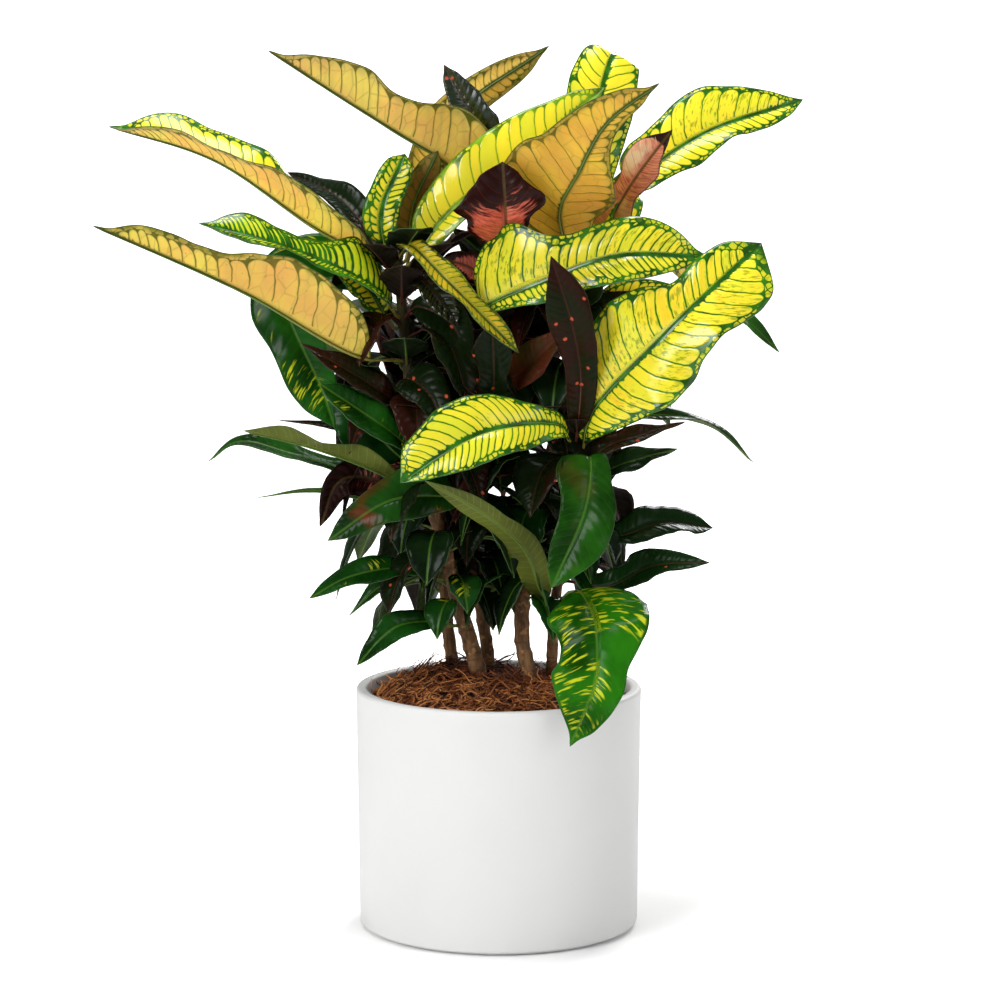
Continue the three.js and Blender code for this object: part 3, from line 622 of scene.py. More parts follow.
def turned(name, profile, steps):
    """A profile of (radius, height) points, spun round the Z axis."""
    bpy.ops.mesh.primitive_plane_add(size=MM)
    piece = added(name)
    bpy.ops.object.mode_set(mode="EDIT")
    bpy.ops.mesh.merge(type="CENTER")
    bpy.ops.transform.translate(value=(profile[0][0], 0, profile[0][1]))
    for (r0, z0), (r1, z1) in zip(profile, profile[1:]):
        bpy.ops.mesh.extrude_region_move(TRANSFORM_OT_translate={"value": (r1 - r0, 0, z1 - z0)})
    bpy.ops.mesh.select_all(action="SELECT")
    bpy.ops.mesh.spin(steps=steps, angle=FULL_TURN, center=(0, 0, 0), axis=(0, 0, 1))
    clean(piece, closed=True)
    return piece


def arc(radius_at, height_at, radius, start, end, count):
    """Points of (radius, height) on an arc, angles in degrees from the outward direction."""
    angles = [math.radians(start + (end - start) * i / count) for i in range(count + 1)]
    return [(radius_at + radius * math.cos(a), height_at + radius * math.sin(a)) for a in angles]


def noise_at(x, y, z):
    """Smooth noise at each of many places."""
    return np.array([noise.noise(place) for place in zip(*np.broadcast_arrays(x, y, z))])


# ---------------------------------------------------------------- reading the CAD frame

def layers_from_tip(node, is_tip):
    """The rings of a lofted CAD piece, from its tip to its foot, and each point's neighbours."""
    mesh = bmesh.new()
    mesh.from_mesh(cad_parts[node].data)
    bmesh.ops.remove_doubles(mesh, verts=mesh.verts, dist=SAME_POINT)
    mesh.verts.ensure_lookup_table()
    points = np.array([v.co[:] for v in mesh.verts])
    near = [set(e.other_vert(v).index for e in v.link_edges) for v in mesh.verts]
    mesh.free()
    tip = next(i for i in range(len(points)) if is_tip(i, points, near))
    seen = {tip}
    layers = [[tip]]
    while True:
        ring = sorted(set().union(*(near[i] for i in layers[-1])) - seen)
        if not ring:
            return points, near, layers
        seen.update(ring)
        layers.append(ring)


class LeafLines:
    """The lines that a leaf hangs on: its stalk, and its blade's left, middle and right."""

    def __init__(self, stalk, middle, left, right, radius):
        self.stalk = stalk
        self.middle = middle
        self.left = left
        self.right = right
        self.radius = radius


STALK_RINGS = 3


def leaf_from_cad(node):
    """Finds the lines of a CAD leaf, whose rings are top, right, below and left, foot to tip."""
    def is_tip(i, points, near):
        return len(near[i]) == 4 and sum(len(near[j]) == 4 for j in near[i]) == 2

    points, near, layers = layers_from_tip(node, is_tip)
    tip = points[layers[0][0]]
    rings = layers[:0:-1]
    if any(len(ring) != 4 for ring in rings):
        raise RuntimeError(f"{node} isn't a loft of four-sided rings")
    flat = [i for i in rings[0] if len(near[i] & set(rings[1])) == 1]
    lines = [[flat[0]], [flat[1]], [], []]
    for k, ring in enumerate(rings):
        if k:
            for line in lines[:2]:
                line.append(next(iter(near[line[-1]] & set(ring))))
        rest = [i for i in ring if i not in (lines[0][k], lines[1][k])]
        if k:
            ahead = near[lines[2][-1]]
            rest.sort(key=lambda i: i not in ahead)
        lines[2].append(rest[0])
        lines[3].append(rest[1])
    one, two, three, four = (points[line] for line in lines)
    middle = (one + two) / 2
    tangents = unit(np.gradient(np.vstack([middle, tip]), axis=0))[:-1]
    if np.sum((one - two)[STALK_RINGS:] * tangents[STALK_RINGS:]) < 0:
        one, two = two, one
    turn = np.einsum("ij,ij->i", np.cross(one - two, three - four), tangents)
    if np.sum(turn[STALK_RINGS + 1:]) < 0:
        three, four = four, three
    blade = [np.vstack([line[STALK_RINGS:], tip]) for line in (middle, four, three)]
    return LeafLines(middle[:STALK_RINGS + 1], *blade, np.linalg.norm(three[0] - four[0]) / 2)


def stem_from_cad(name):
    """The centre line of a CAD stem, foot to tip, with its radii."""
    def is_tip(i, points, near):
        return points[i][2] == points[:, 2].max()

    points, _, layers = layers_from_tip(f"{name}_stem", is_tip)
    rings = [points[ring] for ring in layers[:0:-1]]
    centres = np.array([ring.mean(axis=0) for ring in rings])
    radii = [np.linalg.norm(ring - c, axis=1).mean() for ring, c in zip(rings, centres)]
    return np.vstack([centres, points[layers[0][0]]]), np.append(radii, radii[-1] * 0.35)


STEMS = {name: stem_from_cad(name) for name in ("left", "back_left", "centre", "right", "low_right")}


def on_stem(name, height):
    """Centre and radius of a stem at a height."""
    centres, radii = STEMS[name]
    heights = centres[:, 2]
    return read_off(height, heights, centres)[0], np.interp(height, heights, radii)


# ---------------------------------------------------------------- leaves

ROW_LENGTH = 2.9 * MM
COLUMN_WIDTH = 3.2 * MM
FEWEST_ROWS, MOST_ROWS = 22, 84
FEWEST_COLUMNS, MOST_COLUMNS = 4, 10     # on each half of a blade
RIB_SINK = 0.45 * MM                     # how far below the blade the midrib's centre runs
STRIDE = 0.5 * MM                        # a short step along a leaf, to find its direction
RIB_STEP = 5 * MM                        # spacing of the midrib's rings
PINCHED = (0.965, 0.045)                 # where the blade is pinched in before its tip, and over how much


def vein_phase(runs, widths, offset, along, across, half, station):
    """Counts the side veins from the foot, so that they lean and curl towards the tip."""
    steps = np.clip(widths * PITCH_SHARE, *VEIN_PITCH)
    counted = np.concatenate([[0], np.cumsum(np.diff(runs) / ((steps[1:] + steps[:-1]) / 2))])
    lean = VEIN_LEAN[0] + (VEIN_LEAN[1] - VEIN_LEAN[0]) * station**1.4
    start = along - lean * across - VEIN_CURL * across**2 / np.maximum(half, MM)
    return np.interp(start, runs, counted) + np.minimum(start, 0) / VEIN_PITCH[0] + offset


def leaf_piece(name, lines, seed, skins, scallop=0.018, waved=3.2, tail=0.10, fine=1.0):
    """A leaf blade with an arched, rippled upper side, an underside, and its stalk and midrib."""
    s = settings().leaf
    draw = random.Random(seed)
    middle = lines.middle
    knots = run_length(middle)
    total = knots[-1]
    widest = max(np.linalg.norm(side - middle, axis=1).max() for side in (lines.right, lines.left))
    rows = int(np.clip(total / (ROW_LENGTH / fine), FEWEST_ROWS, MOST_ROWS))
    columns = int(np.clip(widest / COLUMN_WIDTH * fine, FEWEST_COLUMNS, MOST_COLUMNS))
    piece, across, along = sheet(name, 2 * columns, rows)
    on_right = across >= 0

    def wave(count, start):
        return np.sin(count * FULL_TURN * along + start)

    at = along * total
    out = np.abs(across)
    mid = along_line(middle, knots, at)
    edge = np.where(on_right[:, None], along_line(lines.right, knots, at), along_line(lines.left, knots, at))
    beat = draw.uniform(0.82, 1.18) * waved
    shift = np.where(on_right, draw.uniform(0, 6.3), draw.uniform(0, 6.3))
    fade = np.sin(math.pi * np.clip(along, 0, 1)) ** 0.6
    lobes = wave(beat, shift) - 0.5 + 0.22 * wave(2.3 * beat, -shift)
    inset = 1 + scallop * fade * lobes - tail * np.exp(-((along - PINCHED[0]) / PINCHED[1]) ** 2)
    reach = (edge - mid) * inset[:, None]
    half = np.linalg.norm(reach, axis=1)
    tangent = unit(along_line(middle, knots, np.minimum(at + STRIDE, total))
                   - along_line(middle, knots, np.maximum(at - STRIDE, 0)))
    up = unit(np.cross(np.where(on_right[:, None], reach, -reach), tangent))
    arch = s.arch * half * np.sin(math.pi * out) * (1 - 0.35 * out)
    waves = draw.uniform(2.2, 3.6)
    turn = np.where(on_right, draw.uniform(0, 6.3), draw.uniform(0, 6.3))
    ripple = s.ripple * half * out**2 * fade * (wave(waves, turn) + 0.35 * out * wave(2.7 * waves, 1.7 * turn))
    dip = -0.35 * MM * np.exp(-(out * half / (1.6 * MM)) ** 2)
    place_points(piece, mid + reach * out[:, None] + up * (arch + ripple + dip)[:, None])

    runs = np.linspace(0, total, 160)
    phases = np.zeros(len(along))
    for chosen, line, offset in ((on_right, lines.right, draw.uniform(3, 30)),
                                 (~on_right, lines.left, draw.uniform(40, 70))):
        widths = np.interp(runs, knots, np.linalg.norm(line - middle, axis=1))
        phases[chosen] = vein_phase(runs, widths, offset, at[chosen], (out * half)[chosen], half[chosen],
                                    along[chosen])
    carry(piece, "vein", phases, across * half, half)
    carry(piece, "place", along, across, at + draw.uniform(0, 1))
    clean(piece)
    for skin in skins:
        piece.data.materials.append(skin)
    blade = piece.modifiers.new("Blade", "SOLIDIFY")
    blade.thickness = s.blade
    blade.offset = -1.0
    blade.material_offset = 1
    blade.use_quality_normals = True
    bpy.ops.object.modifier_apply(modifier=blade.name)

    ribs = int(np.clip(total / RIB_STEP, 12, 40))
    under = np.linspace(0, 0.97, ribs)
    rib = along_line(middle, knots, under * total)
    nearest = np.argsort(np.abs(under[:, None] * total - knots[None, :]), axis=1)[:, 0]
    lift = unit(np.cross(lines.right[nearest] - lines.left[nearest], np.gradient(rib, axis=0)))
    rib = rib - lift * (RIB_SINK + s.blade)
    foot = np.vstack([lines.stalk[:-1], rib[:1]])
    base = run_length(foot)
    stalk = along_line(foot, base, np.linspace(0, base[-1], 9))[:-1]
    thick = np.concatenate([
        np.linspace(lines.radius * 1.05, s.midrib * 1.05, len(stalk)),
        s.midrib * np.linspace(1.0, 0.22, ribs) * min(1.0, 0.55 + widest / (40 * MM))])
    cord, row = tube(name + "_stalk", np.vstack([stalk, rib]), thick, 8)
    station = np.concatenate([np.linspace(-0.3, 0, len(stalk)), under])[row]
    carry(cord, "place", station, np.zeros(len(row)), station)
    clean(cord, closed=True)
    cord.data.materials.append(skins[2])
    pick(piece, cord)
    bpy.ops.object.join()
    return piece


OVAL = (0.12, 0.45, 0.78, 0.95, 1.0, 0.95, 0.8, 0.58, 0.28, 0.0)
LANCE = (0.10, 0.5, 0.85, 1.0, 0.98, 0.86, 0.66, 0.42, 0.18, 0.0)
STRAP = (0.12, 0.45, 0.75, 0.9, 1.0, 0.98, 0.92, 0.78, 0.42, 0.0)
INNER_STALK = 12 * MM
INNER_FOLD = math.radians(15)
INNER_STATIONS = 15                      # places along an inner leaf at which its width is set


def leaf_from_spine(stem, height, spine, faces, half, shape):
    """Lines for a leaf that the CAD leaves out: it leaves a stem, follows a spine and faces one way."""
    centre, radius = on_stem(stem, height)
    outward = spine[0] - centre
    outward[2] = 0
    way = np.vstack([centre + unit(outward) * radius * 0.6, spine])
    knots = run_length(way)
    line = along_line(way, knots, np.linspace(0, knots[-1], 60))
    runs = run_length(line)
    stalk = min(INNER_STALK, runs[-1] * 0.3)
    middle = read_off(np.linspace(stalk, runs[-1], INNER_STATIONS), runs, line)
    tangents = unit(np.gradient(middle, axis=0))
    faces = np.asarray(faces, float)
    normals = unit(faces - tangents * (tangents @ faces)[:, None])
    stations = np.linspace(0, 1, len(shape))
    widths = half * along_line(np.array(shape)[:, None], stations, np.linspace(0, 1, INNER_STATIONS))
    raised = normals * (widths * math.sin(INNER_FOLD))
    spread = np.cross(tangents, normals) * (widths * math.cos(INNER_FOLD))
    left = middle - spread + raised
    right = middle + spread + raised
    left[-1] = right[-1] = middle[-1]
    return LeafLines(read_off(np.linspace(0, stalk, 4), runs, line), middle, left, right, 1.1 * MM)


RED_STALK = ((0.13, 0.025, 0.018), (0.07, 0.03, 0.018))

# The kinds of leaf: what makes the upper side and the underside, the usual underside, and the stalk.
KINDS = {
    "bright": (bright_upper, bright_under, dict(), ((0.36, 0.30, 0.05), (0.10, 0.20, 0.03))),
    "green": (green_upper, dull_under, dict(base=(0.05, 0.09, 0.015)),
              ((0.14, 0.20, 0.03), (0.10, 0.20, 0.03))),
    "dark": (dark_upper, dull_under, dict(base=(0.014, 0.008, 0.005), glow=0.06), RED_STALK),
    "red": (red_upper, dull_under, dict(base=(0.16, 0.035, 0.025), glow=0.18), RED_STALK),
}


def skins_of(kind, name, under=None, **upper):
    """A leaf's three materials: for its upper side, its underside and its stalk."""
    make_upper, make_under, usual, stalk = KINDS[kind]
    return (make_upper(name + "_upper", **upper), make_under(name + "_under", **{**usual, **(under or {})}),
            stalk_skin(name + "_stalk", *stalk))


OLIVE_UNDER = (0.13, 0.17, 0.025)
OLIVE_HANGING = (0.135, 0.165, 0.020)

# How each leaf is finished: its kind, and what sets it apart from its kind.
LEAF_FINISHES = {
    "top_orange": ("bright", dict(under=dict(green=0.2, margin=0.0018, vein=0.00022, crowd=0.8, glow=0.38,
        tone=(1.0, 0.72, 0.22)))),
    "back_orange": ("bright", dict(under=dict(green=0.5, margin=0.0030, vein=0.00022, crowd=0.8, glow=0.50,
        tone=(1.0, 0.68, 0.20)))),
    "young_dark": ("dark", dict(spots=0.9, quilt=0.45, warm=0.1, glint=0.55, base=(0.013, 0.011, 0.011))),
    "long_bright": ("bright", dict(margin=0.0024, gold=0.12, smudge=0.3, crowd=0.85, vein=0.00018,
        net=(0.10, 0.20, 0.008), glint=0.5, roughness=0.15)),
    "broad_orange": ("bright", dict(under=dict(green=0.3, tone=(0.84, 0.55, 0.095), vein=0.00020, crowd=0.8,
        margin=0.0034))),
    "maroon": ("red", dict(flush=0.72, low=0.50, rim=0.009, orange=0.25, tone=(0.80, 0.15, 0.08))),
    "coral": ("red", dict(flush=1.25, low=0.95, orange=0.75, rim=0.003, tone=(1.0, 0.38, 0.22))),
    "wide_centre": ("bright", dict(margin=0.0058, gold=0.08, vein=0.00042, smudge=0.9, crowd=1.25, glint=0.6,
        roughness=0.14)),
    "dark_upright": ("dark", dict(spots=1.1, warm=0.9, glint=0.07, base=(0.0080, 0.0058, 0.0032))),
    "big_right": ("bright", dict(margin=0.0046, gold=0.6, smudge=0.95, cell=0.0055, vein=0.00040, glint=0.55,
        roughness=0.14)),
    "top_right": ("bright", dict(margin=0.0042, gold=0.12, crowd=0.9, vein=0.00024, smudge=0.8)),
    "top_centre": ("bright", dict(margin=0.0042, gold=0.05, vein=0.00024, crowd=0.95)),
    "long_left": ("bright", dict(margin=0.0065, gold=0.15)),
    "low_orange": ("bright", dict(under=dict(green=0.9, crowd=0.75, margin=0.0046))),
    "left_dashed": ("bright", dict(margin=0.0080, rim=0.002, vein=0.0010, crowd=1.7, gold=0.1,
        lemon=(0.72, 0.80, 0.02))),
    "upright_yellow": ("bright", dict(margin=0.0060, gold=0.1, vein=0.0005, crowd=1.2)),
    "upright_tan": ("bright", dict(under=dict(green=0.5, tone=(0.34, 0.20, 0.04)))),
    "dark_back_left": ("dark", dict(spots=0.1, warm=0.3)),
    "big_green_side": ("green", dict(dashes=0.55, base=(0.008, 0.075, 0.004), glint=0.14)),
    "inner_netted": ("bright", dict(margin=0.0060, gold=0.25, vein=0.0006)),
    "arching_olive": ("bright", dict(margin=0.0016, rim=0.0003, gold=0.6, smudge=1.0, halo=0.1, vein=0.00018,
        midrib=0.0012, crowd=1.3, lemon=(0.62, 0.43, 0.020), net=(0.045, 0.060, 0.006))),
    "bronze": ("dark", dict(spots=0.2, warm=1.0, base=(0.030, 0.014, 0.006))),
    "dark_wedge": ("dark", dict(spots=0.6, warm=0.3)),
    "red_blotched": ("red", dict(flush=0.62, low=0.8)),
    "striped_dark": ("dark", dict(quilt=1.0, roughness=0.18, spots=0.0, glint=0.6)),
    "brown_left": ("dark", dict(spots=0.5, warm=0.9, base=(0.010, 0.006, 0.004))),
    "streaked_left": ("green", dict(dashes=0.55, base=(0.008, 0.060, 0.004))),
    "wide_dark_left": ("green", dict(dashes=0.0, base=(0.005, 0.040, 0.004))),
    "long_olive_left": ("green", dict(under=dict(base=OLIVE_HANGING), dashes=0.2)),
    "flat_green_left": ("green", dict(dashes=0.15, under=dict(base=OLIVE_UNDER), base=(0.012, 0.070, 0.006))),
    "hanging_maroon": ("red", dict(flush=0.22, low=0.6, dark=(0.022, 0.005, 0.004))),
    "red_flushed": ("green", dict(dashes=0.15, flush=0.75, base=(0.008, 0.050, 0.004))),
    "bright_low": ("bright", dict(margin=0.0038, gold=0.15, vein=0.0003, smudge=0.4, crowd=1.4)),
    "hanging_olive": ("green", dict(under=dict(base=OLIVE_HANGING), dashes=0.2)),
    "glossy_hanging": ("green", dict(dashes=0.0, flush=0.15, roughness=0.22, glint=0.12,
        base=(0.012, 0.075, 0.004))),
    "front_drooping": ("green", dict(dashes=1.0, base=(0.014, 0.120, 0.003), glint=0.10)),
    "dark_right": ("dark", dict(spots=0.2, warm=0.1, base=(0.006, 0.013, 0.005))),
    "dark_low_right": ("dark", dict(spots=0.2, warm=0.1, base=(0.006, 0.013, 0.005))),
    "grey_right": ("green", dict(dashes=0.0, under=dict(base=(0.06, 0.08, 0.05)), base=(0.010, 0.035, 0.008))),
    "long_thin_right": ("green", dict(dashes=0.0, under=dict(base=OLIVE_UNDER), base=(0.014, 0.050, 0.006))),
    "brown_right": ("dark", dict(spots=0.3, warm=0.8, base=(0.011, 0.008, 0.005))),
    "behind_right": ("green", dict(dashes=0.25)),
    "lower_left_flecked": ("green", dict(dashes=0.6, base=(0.006, 0.050, 0.004))),
    "low_glossy": ("green", dict(dashes=0.0, roughness=0.20, base=(0.006, 0.045, 0.004))),
    "rear_bright": ("bright", dict(gold=0.35)),
    "rear_orange": ("bright", dict(gold=0.8, under=dict(green=0.6))),
    "rear_green": ("green", dict(dashes=0.7)),
    "rear_dark": ("dark", dict(spots=0.6)),
    "rear_right_bright": ("bright", dict(gold=0.3)),
    "rear_right_green": ("green", dict(dashes=0.5)),
    "rear_low_green": ("green", dict(dashes=0.3)),
    "rear_low_dark": ("dark", dict(spots=0.3)),
}

# Extra leaves: finish, stem, height on it, spine points, the way it faces and half width, in mm.
EXTRA_LEAVES = {
    "small_yellow": ("yellow", "right", 537, ((86, 12, 582), (100, -8, 612)), (-0.3, -1, 0.3), 12),
    "small_dark_left": ("dark", "left", 384, ((-120, 22, 400), (-178, 25, 408)), (0, -0.5, 1), 7),
    "thin_grey_left": ("olive", "left", 322, ((-110, 22, 345), (-150, 25, 350), (-196, 30, 344)),
                       (0, -0.6, 1), 5),
    "dark_front_left": ("dark", "left", 432, ((-74, -20, 446), (-56, -42, 438), (-40, -58, 402)),
                        (0.1, -1, 0.5), 19),
    "dark_front_high": ("dark", "left", 492, ((-66, -14, 502), (-40, -26, 492), (-20, -36, 452)),
                        (0.1, -1, 0.5), 17),
    "dark_front_mid": ("dark", "back_left", 412, ((-50, 4, 426), (-38, -30, 424), (-26, -58, 396)),
                       (0, -1, 0.5), 20),
    "dark_front_side": ("brown", "left", 410, ((-94, -14, 420), (-108, -30, 412), (-118, -42, 388)),
                        (-0.3, -1, 0.4), 14),
    "yellow_back_right": ("yellow", "right", 488, ((84, 14, 500), (114, 9, 511), (148, 6, 517)),
                          (0, -1, 0.4), 15),
    "dark_back_right": ("dark", "right", 462, ((66, 20, 474), (84, 12, 496), (112, 6, 514)),
                        (0.1, -1, 0.3), 17),
    "dark_mid_right": ("brown", "centre", 452, ((22, 18, 466), (36, 8, 482), (50, 0, 506)),
                       (0, -1, 0.3), 15),
    "deep_behind_maroon": ("deep", "centre", 520, ((-4, 22, 534), (-20, 16, 548), (-38, 10, 564)),
                           (-0.2, -1, 0.3), 13),
    "low_dark_left": ("green", "back_left", 268, ((-70, 36, 276), (-90, 28, 274), (-122, 22, 248)),
                      (-0.3, -0.6, 1), 12),
}

EXTRA_FINISHES = {
    "yellow": ("bright", dict(rim=0.001, gold=0.5)),
    "dark": ("dark", dict(spots=0.4, warm=0.4, glint=0.08)),
    "brown": ("dark", dict(spots=0.4, warm=1.0, glint=0.08, base=(0.009, 0.005, 0.003))),
    "green": ("green", dict(dashes=0.25, base=(0.006, 0.042, 0.004), quilt=0.08)),
    "deep": ("green", dict(dashes=0.0, base=(0.004, 0.014, 0.003), quilt=0.08, glint=0.12,
        under=dict(base=(0.010, 0.020, 0.005)))),
    "olive": ("green", dict(dashes=0.1, under=dict(base=OLIVE_UNDER), base=(0.05, 0.10, 0.025))),
    "red": ("red", dict(flush=0.30, low=0.6, dark=(0.020, 0.004, 0.003))),
}
TAIL = 0.10                          # how far a tip is pinched in before its point
TAILED = {"top_orange": 0.5, "low_orange": 0.5, "long_left": 0.5, "broad_orange": 0.5, "left_dashed": 0.4,
          "back_orange": 0.3, "coral": 0.3, "young_dark": 0.3, "front_drooping": 0.3, "big_right": 0.0}
SCALLOP = (0.018, 3.2)               # how far the outline waves, by the half width, and how often
SCALLOPED = {"maroon": (0.15, 2.3), "coral": (0.07, 2.4), "dark_wedge": (0.06, 2.5),
             "red_blotched": (0.05, 2.5), "big_green_side": (0.04, 2.0), "young_dark": (0.06, 3.0),
             "broad_orange": (0.04, 2.2)}


class CROTON_OT_leaves(bpy.types.Operator):
    """Models the leaves that the frame holds, each from its own lines"""
    bl_idname = "croton.leaves"
    bl_label = "Leaves"

    def execute(self, context):
        for seed, (name, (kind, options)) in enumerate(LEAF_FINISHES.items()):
            node = name + "_leaf"
            piece = leaf_piece(node + "_look", leaf_from_cad(node), seed, skins_of(kind, name, **options),
                               *SCALLOPED.get(name, SCALLOP), TAILED.get(name, TAIL))
            finish_piece(piece, ("olive" if name == "arching_olive" else kind) + "_leaf", node)
        return {"FINISHED"}


CROWN_CENTRE = (-14 * MM, 28 * MM)
CROWN_REACH = (122 * MM, 100 * MM)
CROWN_FOOT = 478 * MM                # above this the inner leaves stand closer together
CROWN_TOP = 566 * MM
FIRST_WHORL = 262 * MM
LOW_WHORLS = 345 * MM                # the leaves below this are the green ones
HELD_IN = 400 * MM                   # above this the two left stems' leaves may reach further forward
LONGEST_DROOP = 0.84                 # how far out the tip of a drooping leaf comes, by its reach
SHORTEST_INNER = 34 * MM
GOLDEN_ANGLE = math.radians(137.5)
DROOPING = ((0.28, 0.12), (0.55, 0.04), (0.76, -0.28), (0.84, -0.56))
STANDING = ((0.25, 0.2), (0.5, 0.5), (0.78, 0.75))
LOW_FINISHES = ("deep", "green", "deep", "dark", "green")
HIGH_FINISHES = ("dark", "deep", "dark", "brown")
BACK_FINISHES = ("dark", "dark", "deep", "brown", "dark", "deep", "red")


def outside_crown(point):
    """Whether a point lies outside the ellipse that the inner leaves keep to, seen from above."""
    return sum(((point[i] - CROWN_CENTRE[i]) / CROWN_REACH[i]) ** 2 for i in range(2)) > 1


class CROTON_OT_inner_leaves(bpy.types.Operator):
    """Fills the plant with the smaller inner leaves that hide its stems"""
    bl_idname = "croton.inner_leaves"
    bl_label = "Inner leaves"

    def execute(self, context):
        self.skins = {name: skins_of(kind, "inner_" + name, **options)
                      for name, (kind, options) in EXTRA_FINISHES.items()}
        for seed, (name, row) in enumerate(EXTRA_LEAVES.items()):
            finish, stem, height, spine, faces, half = row
            lines = leaf_from_spine(stem, height * MM, np.array(spine) * MM, faces, half * MM, LANCE)
            self.leaf(name, lines, 100 + seed, finish)
        draw = random.Random(7)
        for stem in STEMS:
            self.whorls(stem, draw)
        return {"FINISHED"}

    def leaf(self, name, lines, seed, finish, *shape, **options):
        piece = leaf_piece(name, lines, seed, self.skins[finish], *shape, **options)
        finish_piece(piece, EXTRA_FINISHES[finish][0] + "_leaf")

    def whorls(self, stem, draw):
        """Leaves set round a stem by the golden angle; some stand up and the rest droop."""
        up = np.array([0.0, 0.0, 1.0])
        top = STEMS[stem][0][-1][2] - 4 * MM
        height = FIRST_WHORL
        turn = draw.uniform(0, FULL_TURN)
        count = 0
        while height < top:
            turn += GOLDEN_ANGLE + draw.uniform(-0.3, 0.3)
            crowd = math.sin(math.pi * min(1.0, (height - 235 * MM) / (330 * MM)))
            high = height > CROWN_FOOT
            if high:
                crowd = max(crowd, 0.42)
            front = max(0.0, -math.sin(turn))
            held_in = 0.25 if height > HELD_IN and "left" in stem else 0.5
            reach = (58 + 66 * crowd) * draw.uniform(0.85, 1.15) * MM * (1 - held_in * front)
            way = np.array([math.cos(turn), math.sin(turn), 0.0])
            centre, _ = on_stem(stem, height)
            while reach > SHORTEST_INNER and outside_crown(centre + way * reach * LONGEST_DROOP):
                reach *= 0.92
            if draw.random() < (0.45 if high else 0.66):
                lift = 1.0
                steps = DROOPING
                faces = way + up * 0.5
            else:
                lift = min(draw.uniform(0.4, 1.0), (CROWN_TOP - height) / (0.75 * reach))
                steps = STANDING
                faces = up - way * 0.5
            spine = [centre + (way * out + up * (rise * lift)) * reach for out, rise in steps]
            half = (12 + 11 * crowd) * draw.uniform(0.8, 1.2) * MM
            lines = leaf_from_spine(stem, height, spine, faces, half, draw.choice((OVAL, LANCE, STRAP)))
            finishes = LOW_FINISHES if height < LOW_WHORLS else HIGH_FINISHES if front > 0.3 else BACK_FINISHES
            self.leaf(f"{stem}_inner_leaf_{count}", lines, 300 + count, draw.choice(finishes),
                      0.03, 3.2, 0.25, fine=0.6)
            height += draw.uniform(5.5, 9.5) * (0.6 if high else 1.0) * MM
            count += 1


# ---------------------------------------------------------------- stems

STEM_AROUND = 22
STEM_ROW = 2.4 * MM
SCAR_SPACING = 13 * MM
SCAR_HEIGHT = 2.6 * MM


def bark_material():
    s = settings().stem
    g = Graph("bark")
    x, y, z = g.place.parts()
    grain = g.noise(1.0, 4, 0.65, g.vector(x * 260, y * 260, z * 55))
    flakes = g.cells(g.vector(x * 210, y * 210, z * 90), 1.0)
    scar = g.noise(1.0, at=g.vector(x * 30, y * 30, z * 300)).rise(0.6, 0.7)
    coat = g.mix(grain.rise(0.3, 0.72), scaled(s.bark, 0.32), s.bark)
    coat = g.mix(g.noise(150, 3).rise(0.58, 0.70) * 0.55, coat, scaled(s.bark, 2.1))
    coat = g.mix(scar * 0.55, coat, scaled(s.bark, 0.22))
    coat = g.mix(z.rise(0.34, 0.47), coat, g.mix(grain, scaled(s.young, 0.4), s.young))
    normal = g.bump(grain * 0.7 + flakes * 0.5, 0.0016, 0.9)
    return g.surface(coat, grain.rise(0.2, 0.8, 0.62, 0.86), normal, 0.3)


class CROTON_OT_stems(bpy.types.Operator):
    """Models the woody stems, with old leaf scars and flaking bark"""
    bl_idname = "croton.stems"
    bl_label = "Stems"

    def execute(self, context):
        bark = bark_material()
        for number, (name, (centres, radii)) in enumerate(STEMS.items()):
            knots = run_length(centres)
            at = np.linspace(0, knots[-1], int(knots[-1] / STEM_ROW))
            bumps = self.bumps(number, at)
            piece, _ = tube(name + "_stem_look", along_line(centres, knots, at),
                            np.interp(at, knots, radii), STEM_AROUND, bumps)
            clean(piece, closed=True)
            finish_piece(piece, "stem_bark", name + "_stem", skin=bark)
        return {"FINISHED"}

    def bumps(self, number, at):
        """How far a stem's bark swells: at old leaf scars, and unevenly all over."""
        draw = random.Random(40 + number)
        scars = []
        place = draw.uniform(0, SCAR_SPACING)
        while place < at[-1]:
            scars.append((place, draw.uniform(0, FULL_TURN)))
            place += SCAR_SPACING * draw.uniform(0.6, 1.4)

        def swell(angle, row):
            east, north, up = np.cos(angle), np.sin(angle), row * STEM_ROW
            swollen = (1 + 0.10 * noise_at(east * 1.7 + number * 9, north * 1.7, up * 95)
                       + 0.05 * noise_at(east * 4, north * 4 + number * 5, up * 260))
            for height, turn in scars:
                near = np.exp(-((at[row] - height) / SCAR_HEIGHT) ** 2)
                swollen += settings().stem.knobbly * near * (0.75 + 1.1 * np.cos(angle - turn))
            return swollen
        return swell


# ---------------------------------------------------------------- pot and filling

BODY_TAPER = 2.5 * MM                # how much narrower the pot's radius is at its foot
FOOT_RING = 8 * MM                   # width of the foot ring
HEEL = 3 * MM                        # rounding between the wall and the underside
INNER_HEEL = 6 * MM
CLEAR = 0.3 * MM                     # gap between the fillings and the pot


def glaze_material():
    s = settings().pot
    g = Graph("matt_glaze")
    cloud = g.noise(9, 3)
    coat = g.mix(cloud.rise(0.3, 0.7), s.glaze, scaled(s.glaze, 0.975))
    coat = g.mix(g.noise(260).rise(0.70, 0.76) * 0.10, coat, (0.60, 0.59, 0.56))
    return g.surface(coat, cloud.rise(0.3, 0.7, 0.50, 0.60), g.bump(g.noise(520, 3, 0.6), 0.00025, 0.22), 0.42)


def round_box(node):
    """The radius of a round CAD piece, and the heights of its foot and top."""
    low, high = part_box(node)
    return (high.x - low.x) / 2, low.z, high.z


